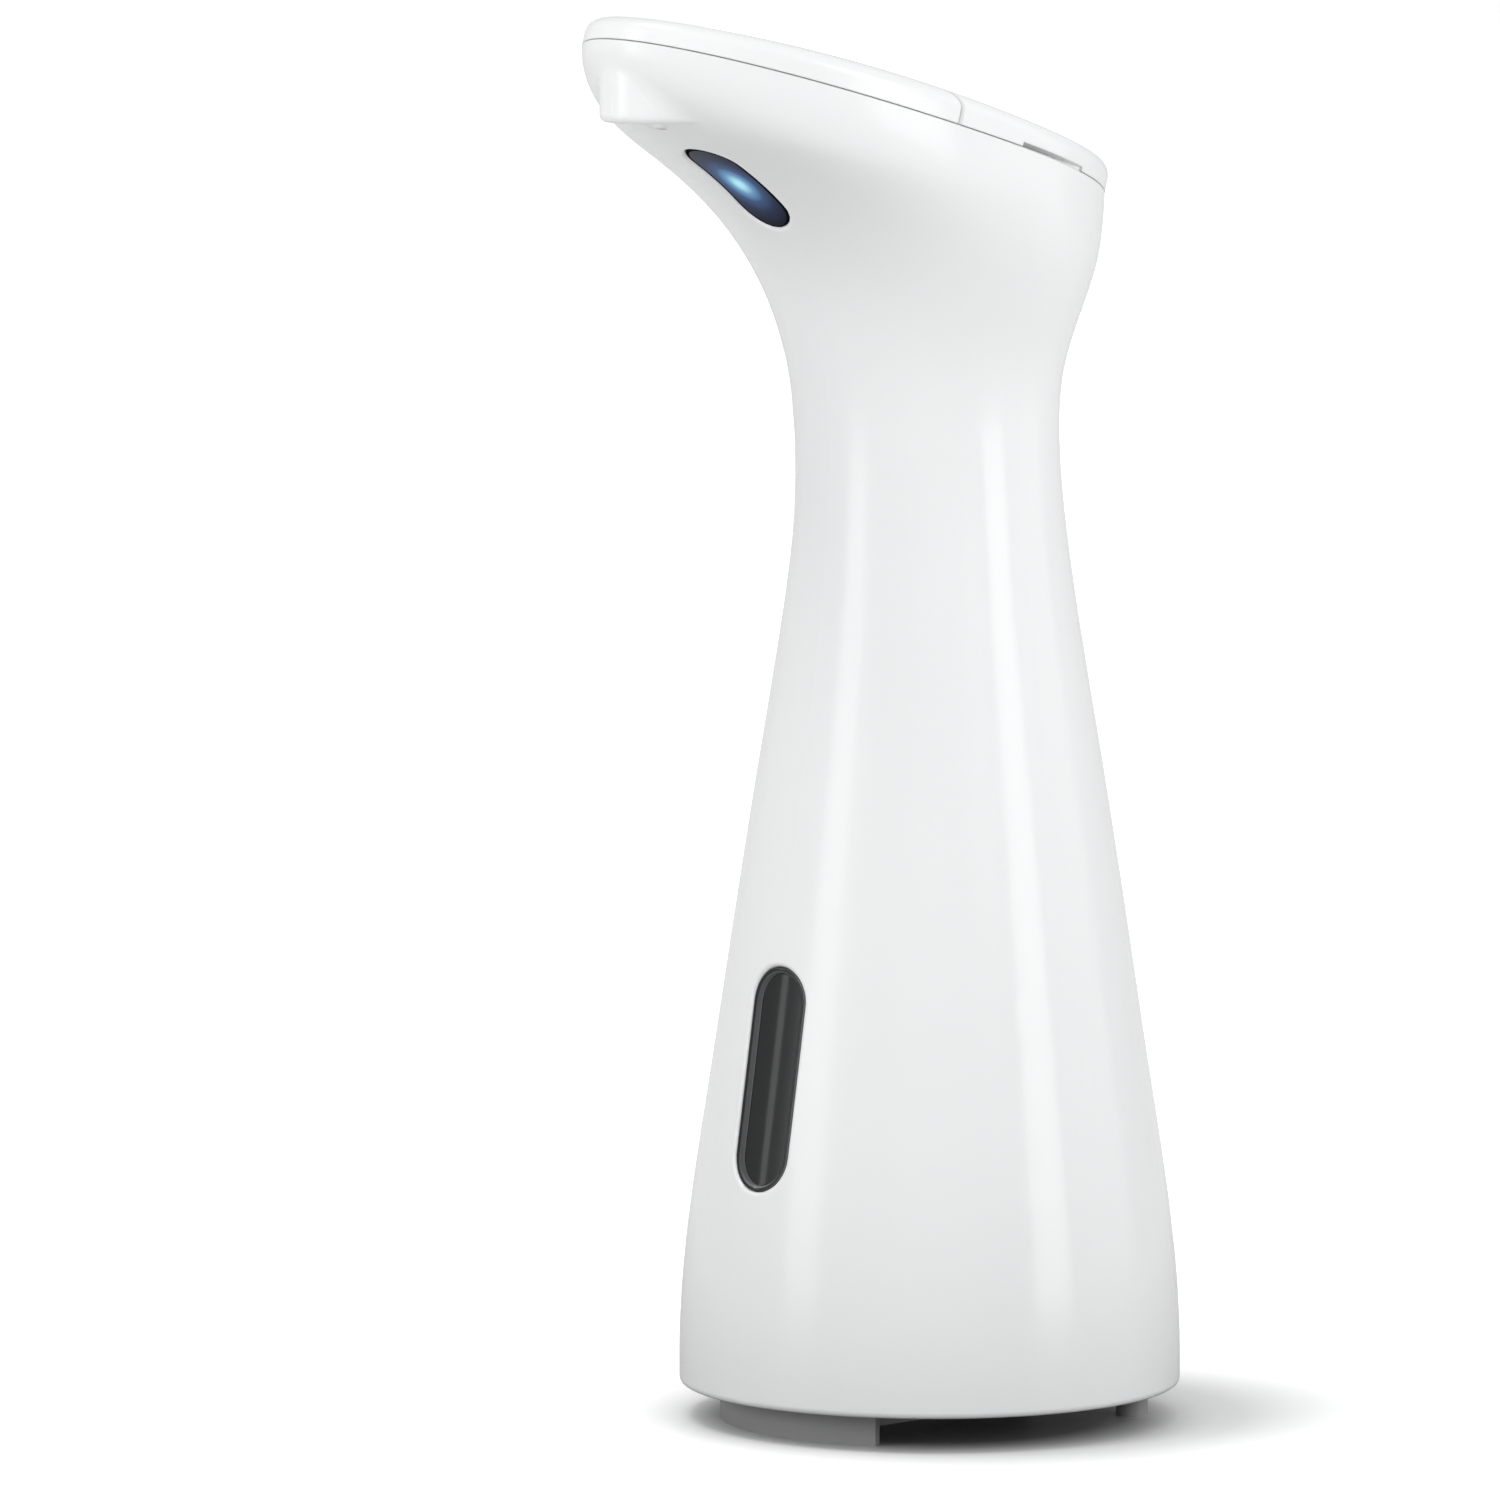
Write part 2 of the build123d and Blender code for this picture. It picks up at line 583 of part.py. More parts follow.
def battery_lid(shell):
    lid = shell & lid_region(0)
    step = Pos(0, BOX_Y, LID_CONTACT_Z + CONTACT_THICKNESS + 10)
    step = step * Box(2 * BOX_HALF - 6, 2 * BOX_HALF - 6, 20)
    step &= egg_cap(COVER_WALL / 2, COVER_WALL / 2, -20)
    core = Pos(0, BOX_Y, LID_CONTACT_Z + CONTACT_THICKNESS + 11.5)
    core = core * Box(2 * BOX_HALF - 9, 2 * BOX_HALF - 9, 20)
    lid = lid + (step - core)
    lid += lid_contact_pads()
    for side in (-1, 1):
        slot = on_seam(side * HEAD_HALF_WIDTH, 0.5, SEAM_GAP + PRY_HEIGHT / 2)
        lid -= slot * Box(2 * PRY_DEPTH, PRY_LENGTH, PRY_HEIGHT)
    return lid


def lid_contact_pads():
    """Feet under the lid that carry the two upper battery contacts."""
    pads = [
        Pos(sx * CELL_PITCH / 2, BOX_Y, LID_CONTACT_Z + CONTACT_THICKNESS + 1)
        * Box(CONTACT_WIDTH, 2 * BOX_HALF - 8, 2)
        for sx in (-1, 1)
    ]
    return pads[0] + pads[1]


def key(x):
    """A round key: its top follows the cover's crown, its flange stops it from inside."""
    cap = on_seam(x, KEY_FORWARD, COVER_HEIGHT) * Cylinder(KEY_RADIUS, 12)
    cap &= egg_cap(0, 0.1, flange_base())
    flange = on_seam(x, KEY_FORWARD, flange_base() + KEY_FLANGE_THICKNESS / 2)
    flange = flange * Cylinder(KEY_RADIUS + KEY_FLANGE, KEY_FLANGE_THICKNESS)
    return cap + flange


def flange_base():
    return BOARD_TOP + SWITCH_HEIGHT + KEY_TRAVEL + 0.05


def main_board():
    board = on_seam(0, MAIN_BOARD_FORWARD, BOARD_THICKNESS / 2)
    board = board * Box(MAIN_BOARD_WIDTH, MAIN_BOARD_LENGTH, BOARD_THICKNESS)
    board &= extrude(lip_outline(LIP_WIDTH + 2 * LIP_GAP), 5, both=True)
    for place in board_screw_places():
        board -= place * Cylinder(SCREW_RADIUS + 0.2, 10)
    return board


def tact_switches():
    return [
        on_seam(x, KEY_FORWARD, BOARD_TOP + SWITCH_HEIGHT / 2)
        * Box(SWITCH_SIDE, SWITCH_SIDE, SWITCH_HEIGHT)
        for x in KEY_PLACES.values()
    ]


# ---- sensor and level window -------------------------------------------------------------
def slot_lens(place, length, width, recess):
    """A curved lens that fills a slot in the housing, with a flange behind the wall."""
    back = form(WALL + LENS_GAP)
    pane = (slot_prism(place, length, width, -LENS_GAP, SLOT_REACH) & form(recess)) - back
    flange = slot_prism(place, length, width, LENS_FLANGE, SLOT_REACH) & back
    return pane + (flange - form(WALL + LENS_GAP + LENS_FLANGE_THICKNESS))


def sensor_lens():
    return slot_lens(SENSOR, SENSOR_LENGTH, SENSOR_WIDTH, LENS_RECESS)


def level_window():
    """A lens with a sunk face inside a flat rim."""
    lens = slot_lens(WINDOW, WINDOW_LENGTH, WINDOW_WIDTH, WINDOW_RECESS)
    length = WINDOW_LENGTH - 2 * (LENS_GAP + WINDOW_RIM)
    width = WINDOW_WIDTH - 2 * (LENS_GAP + WINDOW_RIM)
    lens -= slot_prism(WINDOW, length, width, 0, SLOT_REACH) - form(WINDOW_RECESS + WINDOW_DISH)
    return fillet(rim_edges(lens, WINDOW, length, width, WINDOW_RECESS), WINDOW_SOFTENING)


SENSOR_HOLDER_TOP = WALL + LENS_GAP + LENS_FLANGE_THICKNESS + SENSOR_HOLDER_GAP
SENSOR_BOARD_BOTTOM = SENSOR_HOLDER_TOP + SENSOR_HOLDER_DEPTH


def sensor_place(along, depth):
    """A place over the lens: along the beak, and inwards from the outer skin."""
    return SENSOR * Pos(0, along, -depth)


def sensor_holder():
    holder = sensor_place(0, SENSOR_HOLDER_TOP + SENSOR_HOLDER_DEPTH / 2) * Box(
        SENSOR_WIDTH, SENSOR_BOARD_LENGTH, SENSOR_HOLDER_DEPTH
    )
    for along in (-SENSOR_PITCH, 0, SENSOR_PITCH):
        holder -= sensor_place(along, SENSOR_HOLDER_TOP) * Cylinder(LED_RADIUS + 0.05, 10)
    return holder


def led(along):
    """A round-nosed 3 mm diode standing on the sensor board, looking out of the lens."""
    body = sensor_place(along, SENSOR_BOARD_BOTTOM - LED_HEIGHT / 2) * Cylinder(LED_RADIUS, LED_HEIGHT)
    nose_depth = SENSOR_BOARD_BOTTOM - LED_HEIGHT + LED_RADIUS
    nose = sensor_place(along, nose_depth) * Sphere(LED_RADIUS)
    stem = sensor_place(along, nose_depth + LED_HEIGHT) * Cylinder(LED_RADIUS, 2 * LED_HEIGHT)
    return body & (nose + stem)


def sensor_board():
    return sensor_place(0, SENSOR_BOARD_BOTTOM + BOARD_THICKNESS / 2) * Box(
        SENSOR_BOARD_WIDTH, SENSOR_BOARD_LENGTH, BOARD_THICKNESS
    )


# ---- nozzle and tubes --------------------------------------------------------------------
def nozzle_elbow():
    """Barrel in the boss and an arm that slopes back along the seam to the tube."""
    barrel = bar(BARREL_RADIUS, NOZZLE_Z + NOZZLE_LIP, BARREL_TOP_Z, y=-NOZZLE_FORWARD)
    arm_length = (NOZZLE_FORWARD - TUBE_END_FORWARD + BARB_LENGTH) * OUTLINE_STRETCH
    tube_z = seam_z(NOZZLE_FORWARD) - TUBE_UNDER_SEAM
    root = Pos(0, -NOZZLE_FORWARD, tube_z) * Rot(-90 - SEAM_TILT, 0, 0)
    arm = root * Pos(0, 0, arm_length / 2) * Cylinder(TUBE_BORE - BARB_FIT, arm_length)
    collar_length = (NOZZLE_FORWARD - TUBE_END_FORWARD) * OUTLINE_STRETCH
    collar = root * Pos(0, 0, collar_length / 2) * Cylinder(TUBE_RADIUS, collar_length)
    elbow = barrel + arm + collar
    elbow -= root * Pos(0, 0, arm_length / 2) * Cylinder(TUBE_BORE / 2, arm_length)
    elbow -= bar(TUBE_BORE / 2, NOZZLE_Z, tube_z, y=-NOZZLE_FORWARD)
    elbow -= bar(VALVE_RADIUS, NOZZLE_Z, NOZZLE_Z + NOZZLE_LIP + VALVE_LENGTH, y=-NOZZLE_FORWARD)
    return elbow


def nozzle_valve():
    """Rubber duckbill: a flange and a wedge whose slit opens under pressure."""
    top = NOZZLE_Z + NOZZLE_LIP + VALVE_LENGTH
    flange = bar(VALVE_RADIUS, top - VALVE_FLANGE, top, y=-NOZZLE_FORWARD)
    root = Plane((0, -NOZZLE_FORWARD, top - VALVE_FLANGE), z_dir=(0, 0, -1))
    tip = root.offset(VALVE_LENGTH - VALVE_FLANGE - VALVE_CLEAR)
    square = root.location * Rectangle(BILL_WIDTH, BILL_WIDTH)
    edge = tip.location * Rectangle(BILL_WIDTH, BILL_TIP)
    wedge = loft([square.face(), edge.face()])
    slit = root.location * Box(SLIT_LENGTH, SLIT_WIDTH, 3 * VALVE_LENGTH)
    return flange + wedge - slit


def delivery_tube():
    """Up in front of the batteries, then forward under the cover to the nozzle."""
    top = (TUBE_SLOPE_END, seam_z(TUBE_SLOPE_END) - TUBE_UNDER_SEAM)
    end = (TUBE_END_FORWARD, seam_z(TUBE_END_FORWARD) - TUBE_UNDER_SEAM)
    corners = [(TUBE_FORWARD, MOTOR_Z + 0.5), TUBE_RISE_END, top, end]
    route = FilletPolyline(*[(0, -forward, z) for forward, z in corners], radius=TUBE_BEND)
    start = Plane(origin=route @ 0, z_dir=route % 0)
    ring = start.location * (Circle(TUBE_RADIUS) - Circle(TUBE_BORE))
    return sweep(ring, path=route)


def suction_tube():
    top = TANK_TOP_Z - 1.5
    tube = bar(SUCTION_RADIUS, SUCTION_END_Z, top, y=SUCTION_Y)
    return tube - bar(SUCTION_BORE, SUCTION_END_Z, top, y=SUCTION_Y)


def suction_strainer():
    """Slotted cup on the foot of the suction tube."""
    cup = bar(SUCTION_RADIUS + 1.6, SUCTION_END_Z - 3, SUCTION_END_Z + 5, y=SUCTION_Y)
    cup -= bar(SUCTION_RADIUS + 0.03, SUCTION_END_Z, SUCTION_END_Z + 6, y=SUCTION_Y)
    cup -= bar(SUCTION_RADIUS - 0.3, SUCTION_END_Z - 2, SUCTION_END_Z + 1, y=SUCTION_Y)
    for turn in (0, 60, 120):
        slot = Pos(0, SUCTION_Y, SUCTION_END_Z - 2) * Rot(0, 0, turn) * Box(12, 0.9, 1.6)
        cup -= slot
    return cup


# ---- battery box -------------------------------------------------------------------------
def battery_box():
    middle = (BOX_FLOOR_Z + BOX_TOP_Z) / 2
    box = Pos(0, BOX_Y, middle) * extrude(
        RectangleRounded(2 * BOX_HALF, 2 * BOX_HALF, BOX_CORNER), (BOX_TOP_Z - BOX_FLOOR_Z) / 2, both=True
    )
    well = Pos(0, BOX_Y, middle + BOX_FLOOR) * extrude(
        RectangleRounded(2 * (BOX_HALF - BOX_WALL), 2 * (BOX_HALF - BOX_WALL), BOX_CORNER - BOX_WALL),
        (BOX_TOP_Z - BOX_FLOOR_Z) / 2,
        both=True,
    )
    rib = CELL_PITCH - 2 * CELL_RADIUS - 0.2
    rib_height = BOX_TOP_Z - CELL_Z - 4
    cross = Box(2 * BOX_HALF - 1, rib, rib_height) + Box(rib, 2 * BOX_HALF - 1, rib_height)
    ears = Pos(0, 0, BOX_EAR_Z + BOX_EAR_THICKNESS / 2) * extrude(
        SlotOverall(2 * (BOX_EAR_X + BOX_POST_RADIUS), 2 * BOX_POST_RADIUS), BOX_EAR_THICKNESS / 2, both=True
    )
    box = (box + ears) - well + Pos(0, BOX_Y, CELL_Z + rib_height / 2) * cross
    for x in (-BOX_EAR_X, BOX_EAR_X):
        box -= bar(SCREW_RADIUS + 0.2, BOX_EAR_Z - 1, BOX_EAR_Z + 3, x)
    return box


def battery_cell(place, turned):
    """An AAA cell; neighbours in the series chain stand on their heads."""
    can = Pos(0, 0, (CELL_LENGTH - CELL_NUB_LENGTH) / 2) * Cylinder(
        CELL_RADIUS, CELL_LENGTH - CELL_NUB_LENGTH
    )
    can = chamfer(can.edges().filter_by(GeomType.CIRCLE), 0.3)
    nub = Pos(0, 0, CELL_LENGTH - CELL_NUB_LENGTH / 2) * Cylinder(CELL_NUB_RADIUS, CELL_NUB_LENGTH)
    cell = can + nub
    if turned:
        cell = Pos(0, 0, CELL_LENGTH) * Rot(180, 0, 0) * cell
    return Pos(*place, CELL_Z) * cell


def bowed_strip():
    """A contact leaf with one bow under each of two cells."""
    reach = CELL_PITCH / 2
    base = CONTACT_THICKNESS / 2
    crest = CONTACT_SPACE - CONTACT_THICKNESS / 2
    line = Polyline((-reach - 4.5, base), (-reach - 3.5, base))
    line += ThreePointArc((-reach - 3.5, base), (-reach, crest), (-reach + 3.5, base))
    line += Line((-reach + 3.5, base), (reach - 3.5, base))
    line += ThreePointArc((reach - 3.5, base), (reach, crest), (reach + 3.5, base))
    line += Line((reach + 3.5, base), (reach + 4.5, base))
    return extrude(trace(line, CONTACT_THICKNESS), CONTACT_WIDTH / 2, both=True)


def cell_contacts():
    """Two leaves on the floor of the box, each joining two cells."""
    strip = Rot(90, 0, 0) * bowed_strip()
    floor = BOX_FLOOR_Z + BOX_FLOOR
    return [Pos(0, BOX_Y + sy * CELL_PITCH / 2, floor) * strip for sy in (-1, 1)]


def lid_contacts():
    """Two flat strips under the lid's feet, each joining two cells the other way."""
    return [
        Pos(sx * CELL_PITCH / 2, BOX_Y, LID_CONTACT_Z + CONTACT_THICKNESS / 2)
        * Box(CONTACT_WIDTH, 2 * BOX_HALF - 8, CONTACT_THICKNESS)
        for sx in (-1, 1)
    ]


# ---- gear pump ---------------------------------------------------------------------------
def spur_gear(turn):
    """A twelve-tooth spur gear with straight-flanked, rounded-off teeth."""
    root = GEAR_PITCH_RADIUS - 1.1 * GEAR_MODULE
    pitch_angle = 2 * math.pi / GEAR_TEETH
    half_root, half_pitch, half_tip = (pitch_angle * share for share in (0.30, 0.225, 0.10))
    blank = Circle(root)
    for tooth in range(GEAR_TEETH):
        middle = tooth * pitch_angle
        flank = [(root - 0.3, -half_root), (GEAR_PITCH_RADIUS, -half_pitch), (GEAR_TIP_RADIUS, -half_tip)]
        flank += [(radius, -angle) for radius, angle in reversed(flank)]
        blank += Polygon(
            *[(r * math.cos(middle + a), r * math.sin(middle + a)) for r, a in flank], align=None
        )
    gear = extrude(blank - Circle(SHAFT_RADIUS), GEAR_THICKNESS)
    return Rot(0, 0, math.degrees(turn)) * gear


def drive_gear():
    return Pos(-GEAR_X, 0, CHAMBER_Z + GEAR_FIT) * spur_gear(0)


def driven_gear():
    return Pos(GEAR_X, 0, CHAMBER_Z + GEAR_FIT) * spur_gear(math.pi / GEAR_TEETH)


def pump_outline(radius):
    """The pump's figure-of-eight body, with a nose that carries the outlet."""
    nose = Pos(0, -TUBE_FORWARD / 2) * Rectangle(PUMP_NOSE_WIDTH, TUBE_FORWARD)
    end = Pos(0, -TUBE_FORWARD) * Circle(PUMP_NOSE_WIDTH / 2 - 1.2)
    ears = [
        Pos(sx * PUMP_SCREW_X, sy * PUMP_SCREW_Y) * Circle(PUMP_EAR_RADIUS)
        for sx, sy in PUMP_CORNERS
    ]
    strap_ear = Pos(-GEAR_X - STRAP_SCREW_X / 2, 0) * SlotCenterToCenter(STRAP_SCREW_X, 5)
    outline = SlotCenterToCenter(2 * GEAR_X, 2 * radius) + nose + end + strap_ear
    for ear in ears:
        outline += ear
    return outline


PUMP_CORNERS = ((-1, -1), (1, -1), (1, 1), (-1, 1))


def pump_screw_places():
    return [
        Pos(sx * PUMP_SCREW_X, sy * PUMP_SCREW_Y, MOTOR_Z) * Rot(180, 0, 0)
        for sx, sy in PUMP_CORNERS
    ]


def pump_housing():
    depth = PUMP_COVER_Z - CHAMBER_Z
    body = Pos(0, 0, PUMP_Z) * extrude(pump_outline(PUMP_RADIUS), PUMP_COVER_Z - PUMP_Z)
    for x in (-GEAR_X, GEAR_X):
        body -= bar(GEAR_TIP_RADIUS + GEAR_FIT, CHAMBER_Z, PUMP_COVER_Z + 1, x)
    body -= Pos(0, (SUCTION_Y + 1) / 2, CHAMBER_Z + depth / 2) * Box(3, SUCTION_Y + 1, depth)
    body -= Pos(0, -TUBE_FORWARD / 2, PUMP_COVER_Z - 1.5) * Box(2.4, TUBE_FORWARD, 3)
    body += bar(SUCTION_BORE - BARB_FIT, TANK_TOP_Z - 8, PUMP_Z + 0.5, y=SUCTION_Y)
    body -= bar(0.9, TANK_TOP_Z - 9, CHAMBER_Z + 1, y=SUCTION_Y)
    body -= bar(SHAFT_RADIUS + 0.03, CHAMBER_Z - 1.2, CHAMBER_Z + 1, GEAR_X)
    for place in pump_screw_places():
        body -= pilot(place)
    return body


def pump_cover():
    body = Pos(0, 0, PUMP_COVER_Z) * extrude(pump_outline(PUMP_RADIUS), PUMP_COVER_THICKNESS)
    body += bar(TUBE_BORE - BARB_FIT, MOTOR_Z - 1, BARB_Z, y=-TUBE_FORWARD)
    body -= bar(TUBE_BORE / 2, PUMP_COVER_Z - 1, BARB_Z + 1, y=-TUBE_FORWARD)
    body -= bar(SHAFT_RADIUS + 0.05, PUMP_COVER_Z - 1, MOTOR_Z + 1, -GEAR_X)
    body -= bar(SEAL_RADIUS, MOTOR_Z - SEAL_THICKNESS, MOTOR_Z + 1, -GEAR_X)
    body -= bar(SHAFT_RADIUS + 0.03, PUMP_COVER_Z - 1, PUMP_COVER_Z + 1.2, GEAR_X)
    for place in pump_screw_places():
        body -= place * Cylinder(SCREW_RADIUS + 0.2, 20)
    for place in strap_screw_places():
        body -= pilot(place, STRAP_SCREW_LENGTH)
    return body


def shaft_seal():
    ring = bar(SEAL_RADIUS - 0.02, MOTOR_Z - SEAL_THICKNESS, MOTOR_Z, -GEAR_X)
    return ring - bar(SHAFT_RADIUS + 0.05, MOTOR_Z - SEAL_THICKNESS, MOTOR_Z, -GEAR_X)


def motor_shaft():
    return bar(SHAFT_RADIUS, CHAMBER_Z + 0.3, MOTOR_Z + 6, -GEAR_X)


def idler_pin():
    return bar(SHAFT_RADIUS, CHAMBER_Z - 1.1, PUMP_COVER_Z + 1.1, GEAR_X)


def motor_can():
    can = bar(MOTOR_RADIUS, MOTOR_Z, MOTOR_TOP_Z - 2, -GEAR_X)
    can &= Pos(-GEAR_X, 0, MOTOR_Z + MOTOR_LENGTH / 2) * Box(4 * MOTOR_RADIUS, MOTOR_FLAT, MOTOR_LENGTH)
    return can - bar(SHAFT_RADIUS + 0.05, MOTOR_Z - 1, MOTOR_Z + 7, -GEAR_X)


def motor_end_cap():
    """Plastic end of the motor with its two solder tags."""
    cap = bar(MOTOR_RADIUS - 0.3, MOTOR_TOP_Z - 2, MOTOR_TOP_Z, -GEAR_X)
    cap &= Pos(-GEAR_X, 0, MOTOR_TOP_Z) * Box(4 * MOTOR_RADIUS, MOTOR_FLAT - 0.6, MOTOR_LENGTH)
    for side in (-1, 1):
        cap += Pos(-GEAR_X + side * TAG_X, 0, MOTOR_TOP_Z + 0.9) * Box(0.4, 2.2, 3.4)
    return cap


def motor_strap():
    """Sheet-metal strap over the motor, bent out to two feet on the pump cover."""
    reach = MOTOR_RADIUS + 0.05 + STRAP_THICKNESS / 2
    top = MOTOR_TOP_Z + 0.05 + STRAP_THICKNESS / 2
    foot = MOTOR_Z + STRAP_THICKNESS / 2
    inner = -GEAR_X + reach
    outer = -GEAR_X - reach
    toe = STRAP_SCREW_X + SCREW_HEAD_RADIUS
    line = Polyline(
        (-GEAR_X - toe, foot),
        (outer, foot),
        (outer, top),
        (inner, top),
        (inner, foot),
        (toe - GEAR_X, foot),
    )
    strap = extrude(trace(line, STRAP_THICKNESS), STRAP_WIDTH / 2, both=True)
    strap = Rot(90, 0, 0) * strap
    for side in (-1, 1):
        strap -= Pos(-GEAR_X + side * TAG_X, 0, top) * Box(1.6, 3.4, 4)
    for place in strap_screw_places():
        strap -= place * Cylinder(SCREW_RADIUS + 0.1, 4)
    return strap


def strap_screw_places():
    top = MOTOR_Z + STRAP_THICKNESS
    return [Pos(side * STRAP_SCREW_X - GEAR_X, 0, top) * Rot(180, 0, 0) for side in (-1, 1)]


def pump_deck():
    """Round chassis plate under the pump, screwed up into the housing's posts."""
    deck = bar(DECK_RADIUS, DECK_Z, PUMP_Z)
    deck -= bar(SUCTION_BORE + 0.3, DECK_Z - 1, PUMP_Z + 1, y=SUCTION_Y)
    for angle in DECK_ANGLES:
        deck -= bar(SCREW_RADIUS + 0.2, DECK_Z - 1, PUMP_Z + 1, *deck_post(angle))
    return deck


# ---- reservoir and base ------------------------------------------------------------------
def tank_profile(inset, bottom, top):
    """Half profile of the reservoir, parallel to the housing's wall."""
    heights = [bottom] + [s[1] for s in STATIONS if bottom < s[1] < top] + [top]
    rim = [(body_radius(z) - WALL - TANK_GAP - inset, z) for z in heights]
    return make_face(Polyline((0, bottom), *rim, (0, top), (0, bottom)))


def reservoir():
    outer = revolve(Rot(90, 0, 0) * tank_profile(0, TANK_BOTTOM_Z, TANK_TOP_Z), Axis.Z)
    inner = revolve(
        Rot(90, 0, 0) * tank_profile(TANK_WALL, TANK_BOTTOM_Z - 1, TANK_TOP_Z - TANK_WALL), Axis.Z
    )
    tank = outer - inner
    tank -= bar(GROMMET_RADIUS - 1, TANK_TOP_Z - 3, TANK_TOP_Z + 1, y=SUCTION_Y)
    relief = slot_prism(WINDOW, WINDOW_LENGTH, WINDOW_WIDTH, LENS_FLANGE + 0.4, 4)
    back = form(WALL + LENS_GAP + LENS_FLANGE_THICKNESS + 0.2)
    tank -= relief - back
    for lug in range(LUG_COUNT):
        tank += Rot(0, 0, 120 * lug) * ledge_block(LEDGE_DEPTH + 0.6, LEDGE_Z)
    return tank


def ledge_block(depth, z):
    """A sloping block across the mouth's wall, seen along the radius as a parallelogram."""
    half = LEDGE_WIDTH / 2
    rise = RAMP_SLOPE * half
    outline = Polygon(
        (-half, z - rise),
        (half, z + rise),
        (half, z + rise + LEDGE_HEIGHT),
        (-half, z - rise + LEDGE_HEIGHT),
        align=None,
    )
    face = Plane(origin=(0, -TANK_MOUTH_RADIUS - 0.6, 0), x_dir=(1, 0, 0), z_dir=(0, -1, 0))
    return extrude(face.location * outline, -depth)


def suction_grommet():
    ring = bar(GROMMET_RADIUS, TANK_TOP_Z, TANK_TOP_Z + GROMMET_THICKNESS - 0.8, y=SUCTION_Y)
    neck = bar(GROMMET_RADIUS - 1.05, TANK_TOP_Z - TANK_WALL, TANK_TOP_Z + 0.5, y=SUCTION_Y)
    foot = bar(GROMMET_RADIUS, TANK_TOP_Z - TANK_WALL - 0.8, TANK_TOP_Z - TANK_WALL, y=SUCTION_Y)
    grommet = ring + neck + foot
    grommet -= bar(SUCTION_RADIUS + 0.02, TANK_TOP_Z - 4, TANK_TOP_Z - 1.5, y=SUCTION_Y)
    return grommet - bar(SUCTION_BORE + 0.02, TANK_TOP_Z - 4, TANK_TOP_Z + 4, y=SUCTION_Y)


def base_seal():
    inner = RING_RADIUS + 0.2
    outer = TANK_MOUTH_RADIUS + TANK_WALL - 0.1
    return bar(outer, BASE_PLATE_TOP, TANK_BOTTOM_Z) - bar(inner, BASE_PLATE_TOP, TANK_BOTTOM_Z)


def base_cover():
    plate_radius = body_radius(BASE_PLATE_Z) - WALL - BASE_PLATE_GAP
    cover = bar(plate_radius, BASE_PLATE_Z, BASE_PLATE_TOP)
    ring_top = BASE_PLATE_TOP + BASE_RING_HEIGHT
    cover += bar(RING_RADIUS, BASE_PLATE_TOP, ring_top) - bar(
        RING_RADIUS - BASE_RING_WALL, BASE_PLATE_TOP, ring_top
    )
    cover += front_foot()
    for side in (-1, 1):
        angle = math.radians(PEG_ANGLE)
        x = side * PEG_CIRCLE * math.sin(angle)
        y = -PEG_CIRCLE * math.cos(angle)
        cover += bar(PEG_RADIUS, 0, BASE_PLATE_Z + 0.5, x, y)
    cover += Pos(0, 0, BASE_PLATE_Z / 2) * Box(GRIP_WIDTH, GRIP_LENGTH, BASE_PLATE_Z)
    for lug in range(LUG_COUNT):
        cover += Rot(0, 0, 120 * lug) * lug_block()
    return cover


def lug_block():
    """A lug outside the ring that rides over the reservoir's ledge."""
    half = LEDGE_WIDTH / 2
    rise = RAMP_SLOPE * half
    z = LEDGE_Z + LEDGE_HEIGHT + LUG_GAP
    outline = Polygon(
        (-half, z - rise),
        (half, z + rise),
        (half, z + rise + LEDGE_HEIGHT),
        (-half, z - rise + LEDGE_HEIGHT),
        align=None,
    )
    face = Plane(origin=(0, -RING_RADIUS - LEDGE_DEPTH, 0), x_dir=(1, 0, 0), z_dir=(0, -1, 0))
    block = extrude(face.location * outline, -LEDGE_DEPTH - 1.2)
    return block & bar(TANK_MOUTH_RADIUS - BASE_RING_GAP, z - 5, z + 8)


def front_foot():
    """Arc of skirt under the front that the dispenser stands on."""
    skirt = bar(FOOT_RADIUS, 0, BASE_PLATE_Z) - bar(FOOT_RADIUS - FOOT_WALL, 0, BASE_PLATE_Z)
    reach = 2 * FOOT_RADIUS
    spread = reach * math.tan(math.radians(FOOT_HALF_ANGLE))
    wedge = Polygon((0, 0), (-spread, -reach), (spread, -reach), align=None)
    return skirt & extrude(wedge, BASE_PLATE_Z)


# ---- fasteners ---------------------------------------------------------------------------
def screws(places, length=SCREW_LENGTH):
    return [screw(place, length) for place in places]


